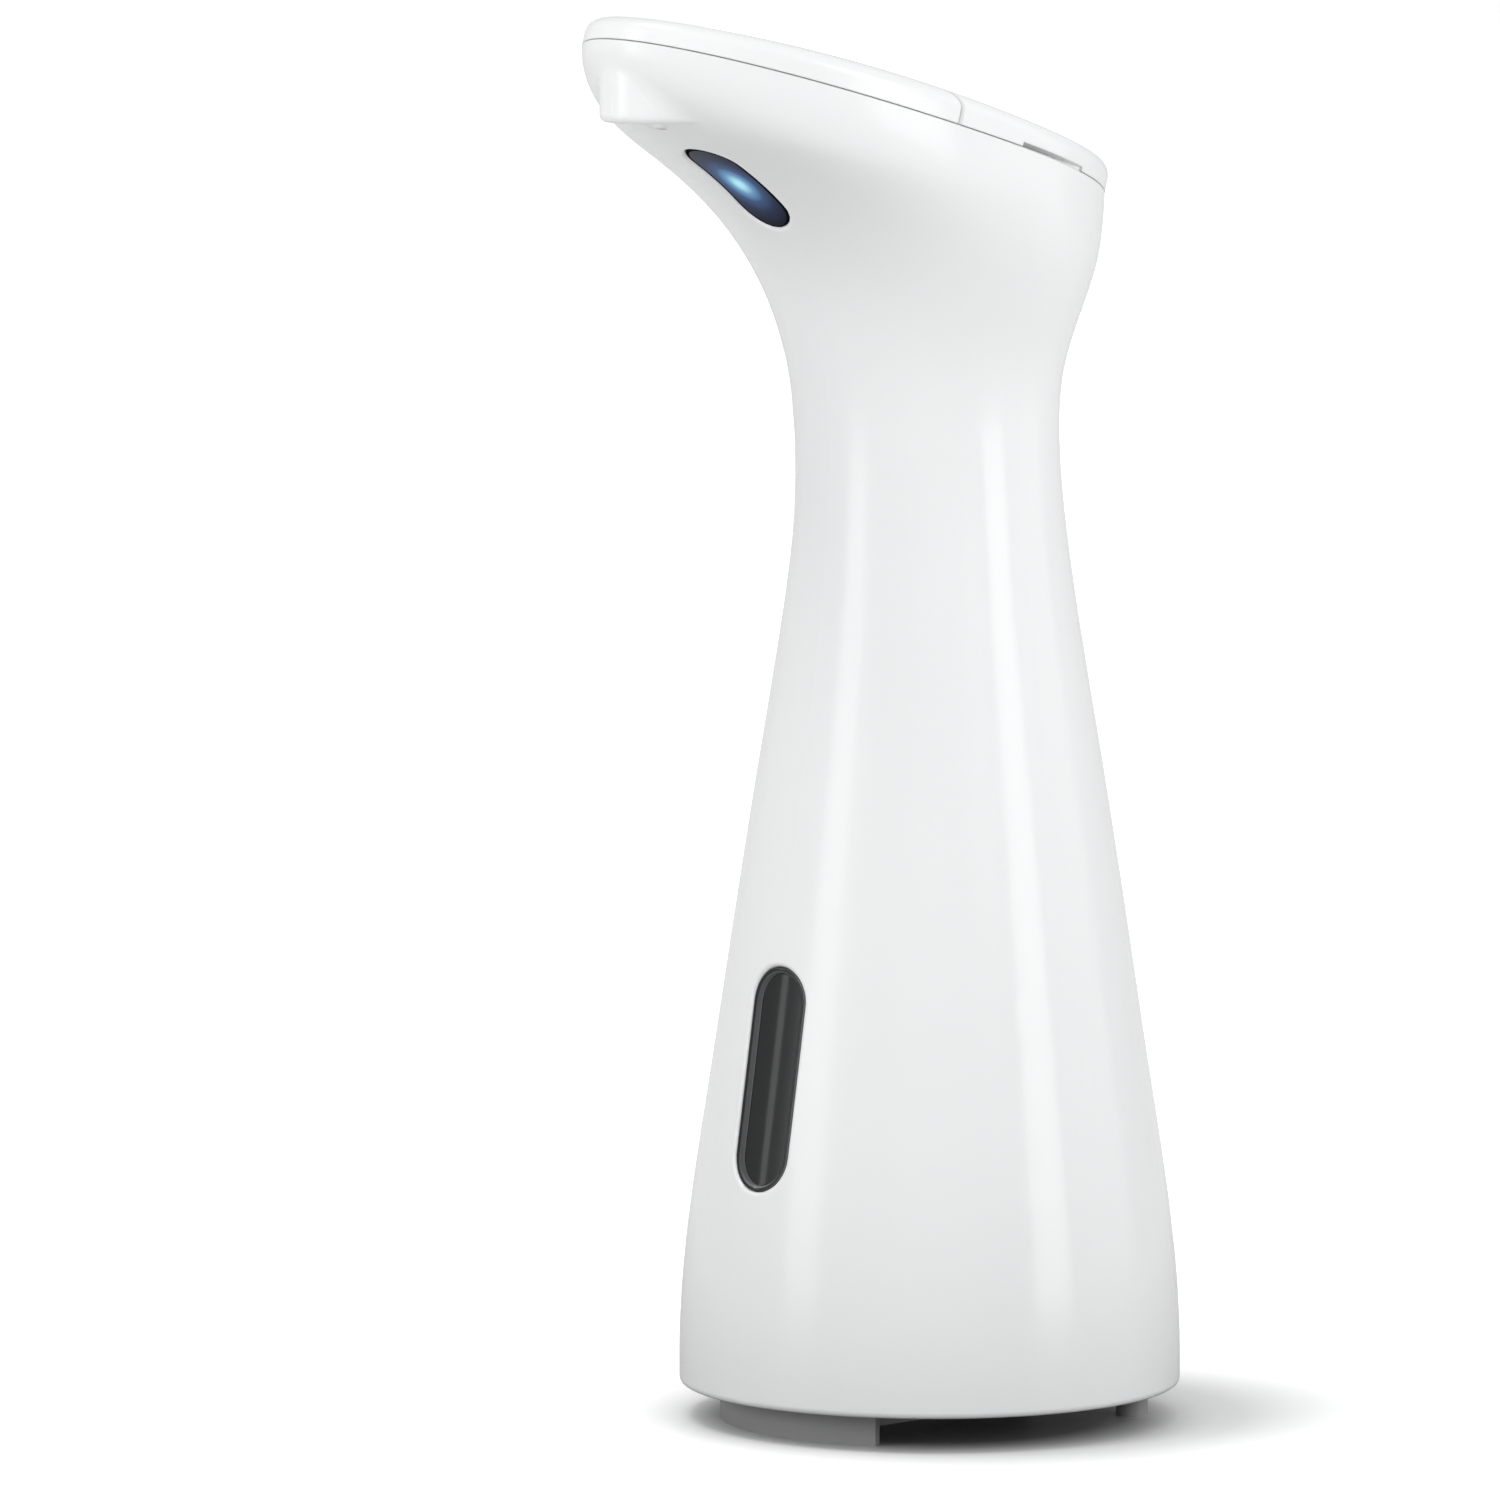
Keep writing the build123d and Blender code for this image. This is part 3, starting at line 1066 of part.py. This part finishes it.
# ---- the whole dispenser -----------------------------------------------------------------
def build_pieces():
    shell = cap_shell()
    pieces = {
        "main_housing": main_housing(),
        "top_cover": top_cover(shell),
        "battery_lid": battery_lid(shell),
        "main_board": main_board(),
        "tact_switches": tact_switches(),
        "board_screws": screws(board_screw_places(), BOARD_SCREW_LENGTH),
        "sensor_lens": sensor_lens(),
        "sensor_holder": sensor_holder(),
        "ir_emitter": led(-SENSOR_PITCH),
        "status_led": led(0),
        "ir_receiver": led(SENSOR_PITCH),
        "sensor_board": sensor_board(),
        "level_window": level_window(),
        "nozzle_elbow": nozzle_elbow(),
        "nozzle_valve": nozzle_valve(),
        "delivery_tube": delivery_tube(),
        "suction_tube": suction_tube(),
        "suction_strainer": suction_strainer(),
        "suction_grommet": suction_grommet(),
        "battery_box": battery_box(),
        "box_screws": screws(ear_screw_places()),
        "cell_contacts": cell_contacts(),
        "lid_contacts": lid_contacts(),
        "pump_deck": pump_deck(),
        "deck_screws": screws(deck_screw_places()),
        "pump_housing": pump_housing(),
        "pump_cover": pump_cover(),
        "pump_screws": screws(pump_screw_places()),
        "drive_gear": drive_gear(),
        "driven_gear": driven_gear(),
        "idler_pin": idler_pin(),
        "shaft_seal": shaft_seal(),
        "motor_shaft": motor_shaft(),
        "motor_can": motor_can(),
        "motor_end_cap": motor_end_cap(),
        "motor_strap": motor_strap(),
        "strap_screws": screws(strap_screw_places(), STRAP_SCREW_LENGTH),
        "reservoir": reservoir(),
        "base_seal": base_seal(),
        "base_cover": base_cover(),
    }
    for name, x in KEY_PLACES.items():
        pieces[name] = key(x)
    for number, place in enumerate(CELL_PLACES, start=1):
        pieces[f"battery_cell_{number}"] = battery_cell(place, number % 2 == 0)
    return pieces


def main():
    os.makedirs("parts", exist_ok=True)
    for name, piece in build_pieces().items():
        solids = piece if isinstance(piece, list) else [piece]
        body = Compound(children=[solid for solid in solids]) if len(solids) > 1 else solids[0]
        export_step(body, f"parts/{name}.step")


if __name__ == "__main__":
    main()
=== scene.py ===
import json
import math

import bmesh
import bpy
from mathutils import Matrix, Vector


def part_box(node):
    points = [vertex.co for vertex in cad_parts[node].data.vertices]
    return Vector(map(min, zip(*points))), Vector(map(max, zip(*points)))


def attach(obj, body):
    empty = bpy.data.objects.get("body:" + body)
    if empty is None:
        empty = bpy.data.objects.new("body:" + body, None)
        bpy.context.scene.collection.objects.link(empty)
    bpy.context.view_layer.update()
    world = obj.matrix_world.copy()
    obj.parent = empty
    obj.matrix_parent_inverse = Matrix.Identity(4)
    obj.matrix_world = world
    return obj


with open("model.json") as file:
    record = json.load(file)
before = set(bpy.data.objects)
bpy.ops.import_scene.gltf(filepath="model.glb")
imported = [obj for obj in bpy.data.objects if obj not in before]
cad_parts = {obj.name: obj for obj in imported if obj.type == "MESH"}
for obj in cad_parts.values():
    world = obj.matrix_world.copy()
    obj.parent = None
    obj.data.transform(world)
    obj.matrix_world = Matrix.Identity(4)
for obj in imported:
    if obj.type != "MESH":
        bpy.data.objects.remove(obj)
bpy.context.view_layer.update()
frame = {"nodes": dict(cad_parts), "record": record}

NODES = frame["nodes"]
SLOTS = {part["node"]: part["material_slot"] for part in frame["record"]["subparts"]}

# The view: a long lens, a little above the object, half way between its front and its right side.
CAMERA_AZIMUTH = math.radians(47.5)
CAMERA_DISTANCE = 1.5
CAMERA_HEIGHT = 0.243
AIM_HEIGHT = 0.0936
AIM_LEFT = 0.0252            # the object stands this far right of the picture's middle
LENS_MM = 259.2
SENSOR_MM = 36.0
VIEW_REACH = 20              # the camera sees no further

# The room. A surface that faces it gets about 1 in all, with the lamps.
ROOM_LIGHT = 0.58
ROOM_COLOUR = (0.985, 0.992, 1, 1)
ROOM_SEEN = 1.02             # the same walls seen directly: plain white
GLOSS_SHARE = 0.3            # how much of what is seen directly shows in a reflection

# The floor. Each level has a reach: the distances from the object's middle where it starts and
# where it has changed.
FLOOR_RADIUS = 6.0
FLOOR_NEAR = 0.17            # what the floor throws back on the object from close by
FLOOR_AROUND = 0.84          # and what it throws back from further off
FLOOR_THROWN_REACH = (0.05, 0.40)
FLOOR_SHADE_UNDER = 0.25           # the floor as the camera sees it under the base: painted dark, as painted shade
FLOOR_SEEN = 0.98            # and round the base
FLOOR_SEEN_REACH = (0.025, 0.035)
FLOOR_LIFT_NEAR = 0.36       # the painted glow beside the base that fades the shadow to plain white
FLOOR_LIFT_NEAR_REACH = (0.036, 0.054)
FLOOR_LIFT_FAR = 0.60        # and the glow far from it
FLOOR_LIFT_FAR_REACH = (0.12, 1.2)
FLOOR_GLOW_SHIFT = 0.008         # the painted glow beside the base is centred this far to the camera's right, so the base's soft shadow shows on that side

# Raised signs on the two volume keys.
SIGN_LENGTH = 0.0042
SIGN_WIDTH = 0.0008
SIGN_HEIGHT = 0.00025
SIGN_SUNK = 0.0001
SIGN_STEPS = 10              # faces round each end
SIGN_RINGS = ((1.0, 0.0), (1.0, 0.7), (0.86, 1.0))     # shares of the outline and the height
KEY_TOP_UP = 0.9             # a face of a key's top looks up at least this much
KEY_TOP_DEPTH = 0.001        # and lies at most this far under its highest face

# The mould's witness line down the middle of the beak.
PARTING_WIDTH = 0.00018      # half of it
PARTING_LENGTH = 0.006       # from the lens up to the nozzle
PARTING_FADE = 0.0005        # how soon it fades at its ends
PARTING_DEPTH = 0.00006

# The sensor lens, a slot with round ends, and the painted glow on it, which stands in for the
# diode's light behind it: places from its middle out to its reach, and their colours.
LENS_LENGTH = 0.019
LENS_WIDTH = 0.0092
LENS_SLOPE = math.radians(36.5)
# The black rim round the lens is painted shade, standing in for the shadow in the gap round it.
LENS_SHADE_RIM = 0.00045
LENS_SHADE_RIM_FADE = 0.0001
LENS_GLOSS = 0.03
GLOW_STRETCH = 1.35          # the glow is this many times as long as it is wide
GLOW_REACH = 0.0085
GLOW = (
    (0.0, (0.44, 0.79, 0.90)),
    (0.10, (0.38, 0.73, 0.87)),
    (0.28, (0.125, 0.29, 0.49)),
    (0.48, (0.035, 0.078, 0.18)),
    (0.72, (0.012, 0.022, 0.060)),
    (1.0, (0.002, 0.003, 0.010)),
)

# The level window.
WINDOW_EDGE = 0.0006         # how far its edges look rounded
WINDOW_PANE = (0.011, 0.0115, 0.0125)
# The lip colour is a painted highlight, much lighter than the pane, where the rounded lip would
# catch light.
WINDOW_LIP_HIGHLIGHT = (0.20, 0.20, 0.205)
WINDOW_LIP_HIGHLIGHT_TURN = (0.70, 0.94)       # painted highlight on the lip up to this share of looking forward, pane colour from that
WINDOW_DIP = 90.0            # in 1/m: the face rises by this times the distance squared
WINDOW_DIP_AT = 0.0018       # from this far right of the window's middle


# ---------------------------------------------------------------- material helpers

def fill(node, inputs):
    """Sets a node's inputs. An underscore stands for a space in a socket's name."""
    for socket, value in inputs.items():
        node.inputs[socket.replace("_", " ")].default_value = value


class Graph:
    """A node material that is built link by link."""

    def __init__(self, name, **settings):
        self.name = name
        self.material = bpy.data.materials.new(name)
        self.material.use_nodes = True
        self.nodes = self.material.node_tree.nodes
        self.shader = self.nodes["Principled BSDF"]
        fill(self.shader, settings)

    def add(self, kind, **inputs):
        node = self.nodes.new(kind)
        fill(node, inputs)
        return node

    def link(self, source, socket, node=None):
        target = node or self.shader
        self.material.node_tree.links.new(source, target.inputs[socket])

    def operate(self, kind, operation, first, second):
        """An operation over a socket and, unless it is None, a number or a second socket."""
        node = self.add(kind)
        node.operation = operation
        self.link(first, 0, node)
        if isinstance(second, bpy.types.NodeSocket):
            self.link(second, 1, node)
        elif second is not None:
            node.inputs[1].default_value = second
        return node

    def math(self, operation, first, second=None):
        return self.operate("ShaderNodeMath", operation, first, second).outputs["Value"]

    def vector(self, operation, first, second=None):
        return self.operate("ShaderNodeVectorMath", operation, first, second).outputs["Vector"]

    def measure(self, operation, first, second=None):
        """A vector operation that gives a number, such as a length."""
        return self.operate("ShaderNodeVectorMath", operation, first, second).outputs["Value"]

    def position(self):
        return self.add("ShaderNodeTexCoord").outputs["Object"]

    def axes(self, vector):
        node = self.add("ShaderNodeSeparateXYZ")
        self.link(vector, 0, node)
        return node.outputs

    def noise(self, scale, detail=3.0, stretch=(1, 1, 1)):
        """Noise in object space: scale is in cells per metre."""
        mapping = self.add("ShaderNodeMapping", Scale=stretch)
        self.link(self.position(), "Vector", mapping)
        texture = self.add("ShaderNodeTexNoise", Scale=scale, Detail=detail, Roughness=0.5)
        self.link(mapping.outputs["Vector"], "Vector", texture)
        return texture.outputs["Fac"]

    def remap(self, value, low, high, start=0.3, end=0.7):
        """Low where the value is start or less, high where it is end or more."""
        node = self.add(
            "ShaderNodeMapRange", From_Min=start, From_Max=end, To_Min=low, To_Max=high
        )
        self.link(value, "Value", node)
        return node.outputs["Result"]

    def ramp(self, factor, stops):
        """A colour ramp over stops of a place and a colour, the first at 0 and the last at 1."""
        node = self.add("ShaderNodeValToRGB")
        elements = node.color_ramp.elements
        elements[0].color = (*stops[0][1], 1)
        elements[1].color = (*stops[-1][1], 1)
        for place, colour in stops[1:-1]:
            elements.new(place).color = (*colour, 1)
        self.link(factor, "Fac", node)
        return node.outputs["Color"]

    def mix(self, factor, first, second):
        return self.ramp(factor, ((0, first), (1, second)))

    def vary_colour(self, colour, spread, scale):
        """Base colour that drifts by a share either way."""
        factor = self.remap(self.noise(scale), 0, 1)
        dark = [c * (1 - spread) for c in colour]
        light = [min(1.0, c * (1 + spread)) for c in colour]
        self.link(self.mix(factor, dark, light), "Base Color")

    def vary_roughness(self, low, high, scale):
        self.link(self.remap(self.noise(scale), low, high), "Roughness")

    def soft_edges(self, radius, samples):
        """A normal that rounds the edges."""
        node = self.add("ShaderNodeBevel", Radius=radius)
        node.samples = samples
        return node.outputs["Normal"]

    def bump(self, height, depth, strength=1.0, normal=None):
        """Bump from a height value: depth is in metres."""
        node = self.add("ShaderNodeBump", Strength=strength, Distance=depth)
        self.link(height, "Height", node)
        if normal is not None:
            self.link(normal, "Normal", node)
        return node.outputs["Normal"]


# ---------------------------------------------------------------- finishes

def moulded(name, colour, roughness, grain, depth, spread=0.02, **settings):
    """A moulded plastic: faint colour drift, uneven gloss, fine surface grain.

    grain is in cells per metre, and depth is how deep it goes."""
    graph = Graph(name, **settings)
    graph.vary_colour(colour, spread, scale=60)
    graph.vary_roughness(roughness * 0.85, roughness * 1.2, scale=130)
    graph.link(graph.bump(graph.noise(grain, detail=4), depth), "Normal")
    return graph


def rubber(name, colour, **settings):
    """Silicone: a soft bloom over fine grain."""
    return moulded(name, colour, 0.5, 1500, 0.00001, spread=0.04, Sheen_Weight=0.15, **settings)


def gloss_white(name, colour):
    """Polished white ABS: soft edges and the faint sink of a moulded wall."""
    graph = Graph(name, IOR=1.5, Coat_Weight=0.25, Coat_Roughness=0.07)
    graph.vary_colour(colour, spread=0.004, scale=25)
    graph.vary_roughness(0.19, 0.23, scale=60)
    edges = graph.soft_edges(radius=0.00035, samples=4)
    sink = graph.bump(graph.noise(28, detail=0.0), depth=0.000012, strength=0.3, normal=edges)
    line = graph.bump(parting_line(graph), PARTING_DEPTH, strength=0.7, normal=sink)
    graph.link(line, "Normal")
    return graph


def parting_line(graph):
    """1 on the witness line, from the lens up to the nozzle, and 0 off it."""
    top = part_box("sensor_lens")[1].z
    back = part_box("sensor_lens")[1].y
    end = top + PARTING_LENGTH
    axes = graph.axes(graph.position())
    line = graph.remap(graph.math("ABSOLUTE", axes["X"]), 1, 0, 0, PARTING_WIDTH)
    for mask in (
        graph.remap(axes["Z"], 0, 1, top - PARTING_FADE, top),
        graph.remap(axes["Z"], 1, 0, end, end + PARTING_FADE),
        graph.remap(axes["Y"], 1, 0, back, back + 2 * PARTING_FADE),
    ):
        line = graph.math("MULTIPLY", line, mask)
    return line


def smoky_window():
    """Dark clear plastic with a painted highlight: its rounded lip is coloured lighter than the
    pane, and its face dips a little across its width.
    """
    graph = Graph("window_smoke", IOR=1.58, Specular_IOR_Level=0.36)
    graph.vary_roughness(0.17, 0.21, scale=300)
    normal = graph.add("ShaderNodeNewGeometry").outputs["Normal"]
    forward = graph.measure("DOT_PRODUCT", normal, (0, -1, 0))
    # Painted highlight: faces of the lip that turn away from the front get the lighter colour.
    lip_highlight = graph.remap(forward, 1, 0, *WINDOW_LIP_HIGHLIGHT_TURN)
    graph.link(graph.mix(lip_highlight, WINDOW_PANE, WINDOW_LIP_HIGHLIGHT), "Base Color")
    across = graph.math("SUBTRACT", graph.axes(graph.position())["X"], WINDOW_DIP_AT)
    edges = graph.soft_edges(WINDOW_EDGE, samples=8)
    dip = graph.bump(graph.math("MULTIPLY", across, across), WINDOW_DIP, normal=edges)
    graph.link(dip, "Normal")
    return graph


def lens_plane(graph):
    """How far a point lies from the lens's middle along its slope and across it."""
    low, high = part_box("sensor_lens")
    away = graph.vector("SUBTRACT", graph.position(), (low + high) / 2)
    slope = (0, -math.cos(LENS_SLOPE), math.sin(LENS_SLOPE))
    return graph.measure("DOT_PRODUCT", away, slope), graph.axes(away)["X"]


def oval_distance(graph, along, across, straight=0.0, stretch=1.0):
    """Distance from a straight middle line, which reaches straight either way from the middle,
    with the way across counted stretch times."""
    beyond = graph.math("SUBTRACT", graph.math("ABSOLUTE", along), straight)
    joined = graph.add("ShaderNodeCombineXYZ")
    graph.link(graph.math("MAXIMUM", beyond, 0.0), "X", joined)
    graph.link(graph.math("MULTIPLY", across, stretch), "Y", joined)
    return graph.measure("LENGTH", joined.outputs["Vector"])


def sensor_lens():
    """Dark blue-black lens. Its black rim is painted shade for the gap round it, and a painted
    glow in a soft oval stands in for the lit diode's light.
    """
    graph = Graph("sensor_smoke", IOR=1.58)
    along, across = lens_plane(graph)
    from_middle = oval_distance(graph, along, across, stretch=GLOW_STRETCH)
    # Painted glow: the lens itself emits this colour, in place of the diode's light behind it.
    painted_glow = graph.ramp(graph.remap(from_middle, 0, 1, 0, GLOW_REACH), GLOW)
    graph.link(painted_glow, "Emission Color")
    from_line = oval_distance(graph, along, across, straight=(LENS_LENGTH - LENS_WIDTH) / 2)
    rim = LENS_WIDTH / 2 - LENS_SHADE_RIM
    inside = graph.remap(from_line, 1, 0, rim - LENS_SHADE_RIM_FADE, rim)
    # Painted shade: the rim gets no glow and no gloss, so it shows black like the shadow in the
    # gap round the lens.
    graph.link(inside, "Emission Strength")
    graph.link(graph.math("MULTIPLY", inside, LENS_GLOSS), "Specular IOR Level")
    graph.vary_colour((0.006, 0.007, 0.012), spread=0.1, scale=150)
    graph.vary_roughness(0.06, 0.10, scale=300)
    return graph


def brushed(name, colour, roughness, stretch=(1, 1, 0.05)):
    """Drawn or ground metal: fine lines along one way."""
    graph = Graph(name, Metallic=1.0)
    lines = graph.noise(2500, detail=5, stretch=stretch)
    graph.link(graph.mix(lines, [c * 0.86 for c in colour], colour), "Base Color")
    graph.link(graph.remap(lines, roughness * 0.8, roughness * 1.3), "Roughness")
    graph.link(graph.bump(lines, depth=0.000006, strength=0.5), "Normal")
    return graph


def circuit_board():
    """Green solder mask with faint copper runs under it."""
    graph = Graph("circuit_board", IOR=1.5)
    tracks = graph.add(
        "ShaderNodeTexBrick", Scale=260.0, Mortar_Size=0.06, Mortar=(0.05, 0.24, 0.09, 1),
        Color1=(0.012, 0.13, 0.045, 1), Color2=(0.014, 0.15, 0.05, 1),
    )
    graph.link(graph.position(), "Vector", tracks)
    graph.link(tracks.outputs["Color"], "Base Color")
    graph.vary_roughness(0.25, 0.38, scale=400)
    graph.link(graph.bump(tracks.outputs["Fac"], depth=0.00003, strength=0.4), "Normal")
    return graph


def make_materials():
    """One material for each finish slot of the record.

    The numbers of a moulded plastic are its roughness, grain and depth."""
    finishes = (
        gloss_white("white_abs", (0.90, 0.902, 0.905)),
        gloss_white("white_key", (0.88, 0.885, 0.89)),
        moulded("grey_abs", (0.31, 0.31, 0.31), 0.42, 1400, 0.00002),
        moulded("black_plastic", (0.022, 0.022, 0.024), 0.4, 1400, 0.00002),
        circuit_board(),
        brushed("screw_steel", (0.62, 0.62, 0.64), 0.3, stretch=(1, 1, 1)),
        sensor_lens(),
        moulded("ir_epoxy", (0.02, 0.02, 0.05), 0.15, 900, 0.000004),
        moulded(
            "blue_led", (0.20, 0.55, 1.0), 0.12, 900, 0.000004,
            Emission_Color=(0.2, 0.6, 1.0, 1), Emission_Strength=1.5,
        ),
        smoky_window(),
        moulded("white_acetal", (0.84, 0.84, 0.83), 0.38, 1400, 0.00001),
        rubber("silicone", (0.70, 0.70, 0.68)),
        rubber("silicone_tube", (0.78, 0.79, 0.79), Transmission_Weight=0.4),
        brushed("contact_nickel", (0.72, 0.70, 0.65), 0.28),
        moulded("gear_nylon", (0.80, 0.79, 0.74), 0.45, 1400, 0.00001),
        brushed("shaft_steel", (0.63, 0.63, 0.64), 0.2),
        brushed("motor_steel", (0.60, 0.61, 0.63), 0.28),
        moulded(
            "tank_plastic", (0.72, 0.73, 0.74), 0.3, 700, 0.00002, Transmission_Weight=0.3
        ),
        moulded("cell_wrap", (0.05, 0.17, 0.09), 0.22, 500, 0.00001, Coat_Weight=0.4),
    )
    return {graph.name: graph.material for graph in finishes}


def dress_frame(materials):
    """Gives every CAD node its finish."""
    for name, node in NODES.items():
        node.data.materials.clear()
        node.data.materials.append(materials[SLOTS[name]])


# ---------------------------------------------------------------- stage

def add_object(name, data):
    """A new object in the scene."""
    item = bpy.data.objects.new(name, data)
    bpy.context.scene.collection.objects.link(item)
    return item


def add_mesh(name, form, material):
    """A new object made of a bmesh, which is used up."""
    mesh = bpy.data.meshes.new(name)
    form.to_mesh(mesh)
    form.free()
    mesh.materials.append(material)
    return add_object(name, mesh)


def around(azimuth, distance, height):
    """A place round the object: azimuth 0 is in front of it, and it turns towards +X."""
    return Vector((distance * math.sin(azimuth), -distance * math.cos(azimuth), height))


def camera_right():
    return Vector((math.cos(CAMERA_AZIMUTH), math.sin(CAMERA_AZIMUTH), 0))


def aim(item, place, target):
    """Puts a lamp or the camera in its place and turns it to look at the target."""
    item.location = place
    item.rotation_euler = (target - item.location).to_track_quat("-Z", "Y").to_euler()


def seen_directly(tree):
    """1 for a ray from the camera or through glass, GLOSS_SHARE for a reflection, 0 for light."""
    path = tree.nodes.new("ShaderNodeLightPath")
    gloss = tree.nodes.new("ShaderNodeMath")
    gloss.operation = "MULTIPLY"
    gloss.inputs[1].default_value = GLOSS_SHARE
    tree.links.new(path.outputs["Is Glossy Ray"], gloss.inputs[0])
    seen = gloss.outputs[0]
    for kind in ("Is Camera Ray", "Is Transmission Ray"):
        either = tree.nodes.new("ShaderNodeMath")
        either.operation = "MAXIMUM"
        tree.links.new(seen, either.inputs[0])
        tree.links.new(path.outputs[kind], either.inputs[1])
        seen = either.outputs[0]
    return seen


def floor_material():
    """Matt white floor. Seen directly or in a reflection it is whiter than the light it throws
    back on the object, and a painted glow fades it to plain white away from the object. Under the
    base the camera sees it painted dark, as painted shade."""
    graph = Graph(
        "floor_white", Roughness=0.5, Specular_IOR_Level=0.3, Emission_Color=(1, 1, 1, 1)
    )
    seen = seen_directly(graph.material.node_tree)
    away = graph.measure("LENGTH", graph.position())
    shifted = graph.vector("SUBTRACT", graph.position(), camera_right() * FLOOR_GLOW_SHIFT)
    beside = graph.measure("LENGTH", shifted)

    level = graph.add("ShaderNodeMapRange")
    graph.link(seen, "Value", level)
    thrown = graph.remap(away, FLOOR_NEAR, FLOOR_AROUND, *FLOOR_THROWN_REACH)
    graph.link(thrown, "To Min", level)
    # Painted shade: the camera sees the floor dark under the base.
    shown_with_shade = graph.remap(away, FLOOR_SHADE_UNDER, FLOOR_SEEN, *FLOOR_SEEN_REACH)
    graph.link(shown_with_shade, "To Max", level)
    graph.link(level.outputs["Result"], "Base Color")

    # Painted light: the floor glows beside the base, off to the camera's right, and far off, so
    # the shadow fades to plain white.
    near = graph.remap(beside, 0, FLOOR_LIFT_NEAR, *FLOOR_LIFT_NEAR_REACH)
    far = graph.remap(away, 0, FLOOR_LIFT_FAR - FLOOR_LIFT_NEAR, *FLOOR_LIFT_FAR_REACH)
    painted_glow = graph.math("MULTIPLY", graph.math("ADD", near, far), seen)
    graph.link(painted_glow, "Emission Strength")
    return graph.material


def make_floor():
    """A round floor, wide enough that its edge lies outside every view."""
    form = bmesh.new()
    bmesh.ops.create_circle(form, cap_ends=True, segments=64, radius=FLOOR_RADIUS)
    floor = add_mesh("floor", form, floor_material())


def make_room():
    """An even white room: seen directly it is plain white."""
    world = bpy.data.worlds.new("room")
    bpy.context.scene.world = world
    world.use_nodes = True
    tree = world.node_tree
    background = tree.nodes["Background"]
    background.inputs["Color"].default_value = ROOM_COLOUR
    level = tree.nodes.new("ShaderNodeMapRange")
    fill(level, {"To Min": ROOM_LIGHT, "To Max": ROOM_SEEN})
    tree.links.new(seen_directly(tree), level.inputs["Value"])
    tree.links.new(level.outputs["Result"], background.inputs["Strength"])


def softbox(name, azimuth, distance, height, size, power, target=0.10,
            colour=(1, 1, 1), gloss=True):
    """A soft lamp, aimed at a height on the object's axis.

    azimuth is in degrees from the camera's, and power is in watts."""
    lamp = bpy.data.lights.new(name, "AREA")
    lamp.shape = "RECTANGLE"
    lamp.size, lamp.size_y = size
    lamp.energy = power
    lamp.color = colour
    holder = add_object(name, lamp)
    place = around(CAMERA_AZIMUTH + math.radians(azimuth), distance, height)
    aim(holder, place, Vector((0, 0, target)))
    holder.visible_glossy = gloss
    holder.visible_camera = False


def make_lights():
    softbox("key", -70, 0.42, 1.25, (0.34, 0.34), 3.1, colour=(1.0, 0.992, 0.98))
    softbox("fill_front", 4, 1.3, 0.24, (0.9, 0.44), 1.1, target=0.13, gloss=False)
    softbox("fill_left", -54, 0.38, 0.15, (0.2, 0.12), 0.22, target=0.15, gloss=False)
    softbox("fill_right", 34, 0.38, 0.17, (0.12, 0.12), 0.16, target=0.17, gloss=False)
    softbox("strip_left", -62, 1.0, 0.42, (0.32, 0.84), 1.3, target=0.3)
    softbox("strip_right", 59, 1.0, 0.42, (0.34, 0.84), 2.2, target=0.3)
    softbox("side_right", 92, 1.0, 0.42, (0.7, 0.84), 1.1, target=0.3)


def make_camera():
    camera = bpy.data.cameras.new("camera")
    camera.lens = LENS_MM
    camera.sensor_width = SENSOR_MM
    camera.clip_end = VIEW_REACH
    holder = add_object("camera", camera)
    place = around(CAMERA_AZIMUTH, CAMERA_DISTANCE, CAMERA_HEIGHT)
    aim(holder, place, Vector((0, 0, AIM_HEIGHT)) - camera_right() * AIM_LEFT)
    bpy.context.scene.camera = holder


# ---------------------------------------------------------------- signs on the keys

def round_ended_bar(form, turn):
    """A flat bar with round ends and a softened rim, lying across the origin."""
    straight = (SIGN_LENGTH - SIGN_WIDTH) / 2
    radius = SIGN_WIDTH / 2
    rim = []
    for end in (0, 1):
        for step in range(SIGN_STEPS + 1):
            angle = math.pi * (end + step / SIGN_STEPS) - math.pi / 2
            x = straight * (1 - 2 * end) + radius * math.cos(angle)
            rim.append((x, radius * math.sin(angle)))
    rings = []
    for share, height in SIGN_RINGS:
        ring = []
        for x, y in rim:
            x, y = x * share, y * share
            ring.append(form.verts.new((
                x * math.cos(turn) - y * math.sin(turn),
                x * math.sin(turn) + y * math.cos(turn),
                height * SIGN_HEIGHT,
            )))
        rings.append(ring)
    for low, high in zip(rings, rings[1:]):
        for index in range(len(rim)):
            after = (index + 1) % len(rim)
            form.faces.new((low[index], low[after], high[after], high[index]))
    form.faces.new(list(reversed(rings[0])))
    form.faces.new(rings[-1])


def key_top(key):
    """The middle of a key's top and the way it faces."""
    faces = [face for face in NODES[key].data.polygons if face.normal.z > KEY_TOP_UP]
    normal = sum((face.normal * face.area for face in faces), Vector()).normalized()
    top = max(face.center.dot(normal) for face in faces)
    faces = [face for face in faces if face.center.dot(normal) > top - KEY_TOP_DEPTH]
    area = sum(face.area for face in faces)
    centre = sum((face.center * face.area for face in faces), Vector()) / area
    nearest = min(faces, key=lambda face: (face.center - centre).length)
    return centre + normal * (nearest.center - centre).dot(normal), normal


def key_sign(key, turns, material):
    """A raised sign on top of a key, square to the key's own top."""
    form = bmesh.new()
    for turn in turns:
        round_ended_bar(form, turn)
    sign = add_mesh(key + "_sign", form, material)
    centre, normal = key_top(key)
    across = (Vector((1, 0, 0)) - normal * normal.x).normalized()
    sign.rotation_euler = Matrix((across, normal.cross(across), normal)).transposed().to_euler()
    sign.location = centre - normal * SIGN_SUNK
    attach(sign, key)


materials = make_materials()
dress_frame(materials)
key_sign("plus_key", (0, math.pi / 2), materials["grey_abs"])
key_sign("minus_key", (0,), materials["grey_abs"])
make_floor()
make_room()
make_lights()
make_camera()
bpy.context.scene.view_settings.view_transform = "Standard"
